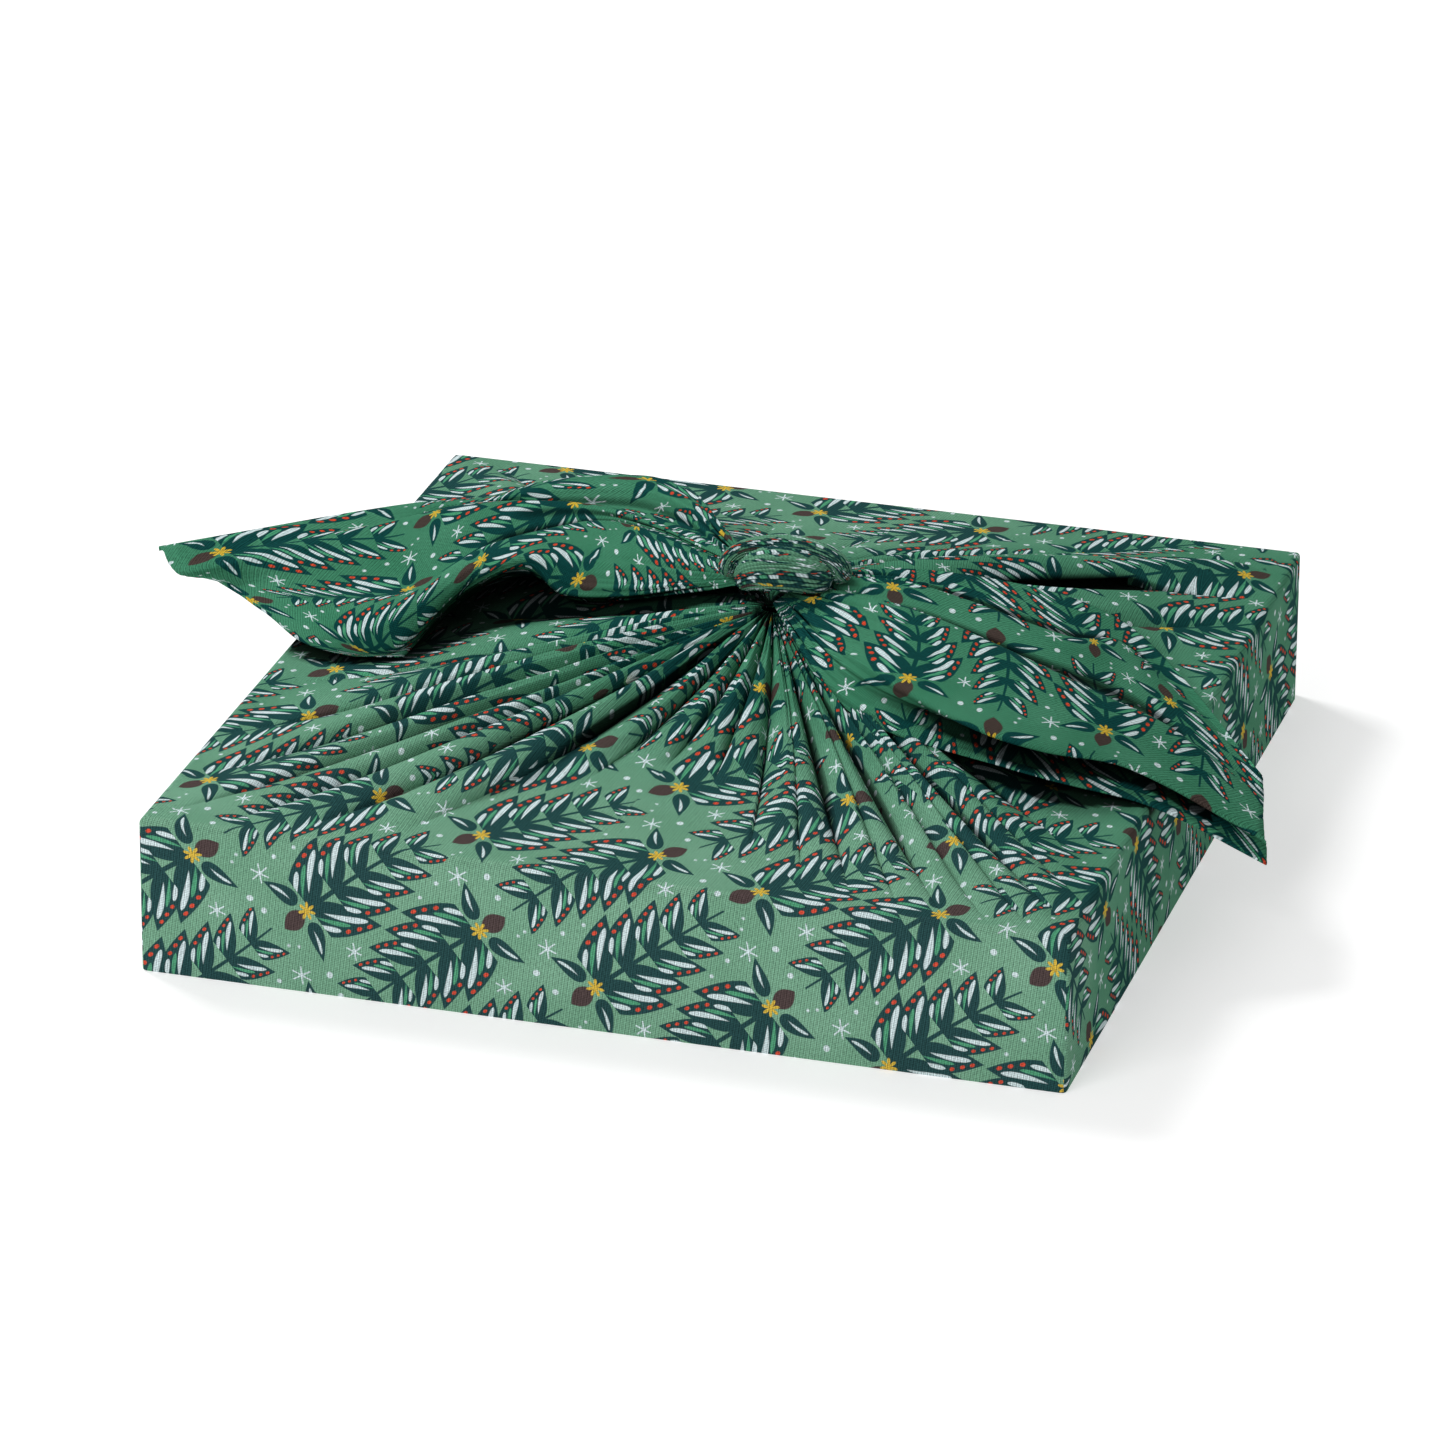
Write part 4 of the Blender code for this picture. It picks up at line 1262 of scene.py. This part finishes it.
@dataclass
class Cloth:
    """The whole square of cloth: sheet, ears and knot."""

    parcel: Parcel = field(default_factory=Parcel)
    finish: ClothFinish = field(default_factory=ClothFinish)
    knot: tuple[float, float, float] = (0.0150, 0.0030, 0.1020)
    pieces: list[Piece] = field(default_factory=list)

    def build(self) -> list[Piece]:
        """Build and dress every piece of the cloth.

        Returns:
            The new pieces.
        """
        material = self.finish.build()
        wrap = WrapSheet(self.parcel).build()
        left = self.left_ear().build()
        right = self.right_ear().build()
        front = self.front_band().build()
        loop = self.back_loop().build()
        self.pieces = [wrap, left, right, front, loop]
        # Painted cast shadow of the ears and knot on the sheet, and painted shade in the ears' own folds.
        PaintedShadow(bias=1.5, shut=0.20, free=0.88).apply([wrap], [left, right, front, loop])
        PaintedShadow(bias=0.5, shut=0.04, free=0.82).apply([left, right], [wrap, left, right])
        for piece in self.pieces:
            piece.data.materials.append(material)
            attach(piece, BODY)
            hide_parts(CLOTH_NODE)
        return self.pieces

    def left_ear(self) -> Ear:
        """The long ear on the left, from its far edge to its near edge."""
        return Ear(
            "cloth_ear_left", self.parcel, self.knot,
            ((123, 145, 6, 136, 168, 4, 144, 174, 6, 154, 186, 12, 178.5, 240, 19),
             (126, 140, 24, 139, 163, 20, 147, 168, 18, 155, 183, 18, 179, 239, 21),
             (129, 123, 28, 142, 148, 25, 151, 159, 22, 157, 178, 20, 180.5, 235, 22.5),
             (133, 117, 23, 144, 143, 21, 151, 163, 19.5, 159.5, 174, 19, 182.5, 230, 21),
             (142, 108, 30, 148, 130, 29, 156, 151, 27, 163, 169, 23, 184, 224, 20),
             (144, 99, 28, 153, 119, 23, 165, 131, 20, 177, 148, 14, 181, 215, 14),
             (153, 87, 37, 164, 101, 36, 174, 118, 32, 188, 140, 22, 186, 191, 11),
             (168, 78, 36, 172, 97, 36, 179, 115, 30, 192, 141, 16, 191, 174, 7),
             (177, 78, 30, 177, 97, 34, 181, 117, 26, 193, 140, 9, 193, 156, 5),
             (179, 83, 23, 177, 98, 31, 181, 121, 20, 190, 135, 7, 193, 138, 5),
             (173, 84, 18, 173, 100, 24, 176, 123, 13, 188, 135, 3, 192, 138, 3)),
            (0.002, 0.009, 0.1010), (0.001, 0.001, 0.0955), (0.31, 0.22), math.radians(205),
            painted_crease_shade=((4.35, 0.22, 0.06, 0.62, 0.72), (4.85, 0.22, 0.04, 0.70, 0.85),
                     (2.7, 0.3, 0.05, 0.6, 0.6)))

    def right_ear(self) -> Ear:
        """The broad ear on the right, from its far edge to its near edge."""
        return Ear(
            "cloth_ear_right", self.parcel, self.knot,
            ((43, 51, 34, 32, 104, 22, 27, 125, 13, 14, 142, 5, 355, 179, -6),
             (30, 46, 33, 13, 102, 19, 18, 120, 13, 12, 137, 5, 355, 180, -7),
             (16, 45, 37, 6, 103, 25, 14, 119, 18, 8, 135, 10, 354, 181.5, -8),
             (352, 48, 34, 349, 100, 25, 351, 124, 17, 352, 148, 8, 352.5, 183.5, -10.5),
             (345, 51, 39, 345, 104, 30, 347, 127, 22, 349, 151, 13, 350, 186.5, -10),
             (326, 64, 37, 328, 117, 29, 335, 136, 22, 342, 153, 12, 347, 191, -11),
             (310, 75, 34, 320, 125, 26, 327, 140, 20, 336, 154, 12, 344, 197, -13),
             (307, 72, 28, 325, 116, 20, 332, 133, 14, 341, 149, 6, 345, 196, -17),
             (304, 77, 19, 322, 127, 13, 328, 141, 8, 336, 167, 0, 343, 200, -21)),
            (0.024, 0.009, 0.0985), (0.013, -0.006, 0.0920), (0.05, 0.41), math.radians(-35),
            painted_crease_shade=((0.82, 0.20, 0.15, 0.85, 0.85), (2.80, 0.24, 0.12, 0.97, 0.88),
                     (7.0, 0.5, 0.08, 0.9, 0.5)))

    def front_band(self) -> KnotBand:
        """The band that crosses the knot's front."""
        return KnotBand(
            "cloth_knot_front", self.knot,
            ((-15, -6, -4, 4.5, 4.0), (-9, -9, 2, 7.0, 4.5), (0, -9, 4, 8.0, 5.0),
             (9, -7, 3, 7.5, 5.0), (17, -1, -1, 5.5, 4.5)), (0.12, 0.07))

    def back_loop(self) -> KnotBand:
        """The loop that wraps over the knot like a hood."""
        return KnotBand(
            "cloth_knot_loop", self.knot,
            ((-21, -4, -4, 4.0, 3.5), (-19, -1, 2, 6.5, 4.0), (-10, 3, 5, 8.5, 4.5),
             (5, 4, 6, 9.0, 4.5), (17, 3, 3, 7.5, 4.0), (22, 1, -3, 5.0, 3.5)), (0.03, 0.19), pleats=13)


@dataclass
class Carton:
    """The plain carton inside the cloth, which keeps its own shape."""

    finish: BoardFinish = field(default_factory=BoardFinish)

    def dress(self) -> Piece:
        """Give the carton its paperboard.

        Returns:
            The carton.
        """
        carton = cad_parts[CARTON_NODE]
        carton.data.materials.clear()
        # The paperboard is painted dark to stand for shade.
        carton.data.materials.append(self.finish.build())
        return carton


@dataclass
class Studio:
    """Pale floor, soft light and the camera at the photo's angle."""

    azimuth: float = 16.19177445
    elevation: float = 23.74068683
    roll: float = 0.39411182
    shift_right: float = 7.54416273e-03
    shift_up: float = -3.89381718e-02
    distance: float = 3.08238220
    focal_pixels: float = 8523.3761
    frame_pixels: float = 1440.0
    sensor: float = 36.0
    floor_glow: float = 0.52
    sky_glow: float = 0.38

    def build(self) -> None:
        """Build the floor, lights and camera."""
        self.floor()
        self.sky()
        self.lamp("key", (-1.3, 0.8, 1.9), (0.7, 0.7), 34.0)
        self.lamp("fill", (-0.6, -1.8, 1.5), (1.2, 0.8), 22.0)
        self.camera()

    def floor(self) -> None:
        """A wide plain floor."""
        bpy.ops.object.select_all(action="DESELECT")
        bpy.ops.mesh.primitive_plane_add(size=14.0, location=(0.0, 0.0, 0.0))
        floor = bpy.context.object
        floor.name = "floor"
        bpy.ops.object.transform_apply(location=True, rotation=True, scale=True)
        material, tree, shader = new_material("pale floor")
        fill_inputs(tree, shader, {"Base Color": (0.62, 0.62, 0.62, 1.0), "Roughness": 0.9,
                                   "Emission Color": WHITE, "Emission Strength": self.floor_glow})
        floor.data.materials.append(material)

    def sky(self) -> None:
        """Even pale light from all round."""
        world = bpy.data.worlds.new("studio")
        world.use_nodes = True
        fill_inputs(world.node_tree, world.node_tree.nodes["Background"],
                    {"Color": WHITE, "Strength": self.sky_glow})
        bpy.context.scene.world = world

    def lamp(self, name: str, place: tuple[float, float, float], size: tuple[float, float],
             power: float) -> None:
        """Add one soft area lamp that faces the object.

        Args:
            name: name of the lamp.
            place: where it hangs.
            size: its width and height.
            power: its power in watts.
        """
        bpy.ops.object.light_add(type="AREA", location=place)
        lamp = bpy.context.object
        lamp.name = name
        lamp.data.shape = "RECTANGLE"
        lamp.data.size, lamp.data.size_y = size
        lamp.data.energy = power
        towards = Vector((0.0, 0.0, 0.05)) - Vector(place)
        lamp.rotation_euler = towards.to_track_quat("-Z", "Y").to_euler()

    def camera(self) -> None:
        """Set the camera where the photo was taken from."""
        turn, tilt, roll = (math.radians(v) for v in (self.azimuth, self.elevation, self.roll))
        back = Vector((math.sin(turn) * math.cos(tilt), -math.cos(turn) * math.cos(tilt), math.sin(tilt)))
        right = Vector((math.cos(turn), math.sin(turn), 0.0))
        above = back.cross(right)
        across = math.cos(roll) * right + math.sin(roll) * above
        upward = math.cos(roll) * above - math.sin(roll) * right
        eye = self.distance * back - self.shift_right * across - self.shift_up * upward
        data = bpy.data.cameras.new("camera")
        data.sensor_width = self.sensor
        data.lens = self.focal_pixels * self.sensor / self.frame_pixels
        data.clip_end = 50.0
        camera = bpy.data.objects.new("camera", data)
        bpy.context.scene.collection.objects.link(camera)
        axes = Matrix((across, upward, back)).transposed().to_4x4()
        camera.matrix_world = Matrix.Translation(eye) @ axes
        bpy.context.scene.camera = camera
        bpy.context.scene.view_settings.view_transform = "Standard"


def main() -> None:
    """Build the object piece by piece, then the studio round it."""
    logging.basicConfig(level=logging.INFO, format="%(message)s")
    cloth = Cloth()
    for piece in cloth.build():
        LOG.info("%s: %d faces", piece.name, len(piece.data.polygons))
    LOG.info("%s: dressed", Carton().dress().name)
    Studio().build()


if __name__ == "__main__":
    main()
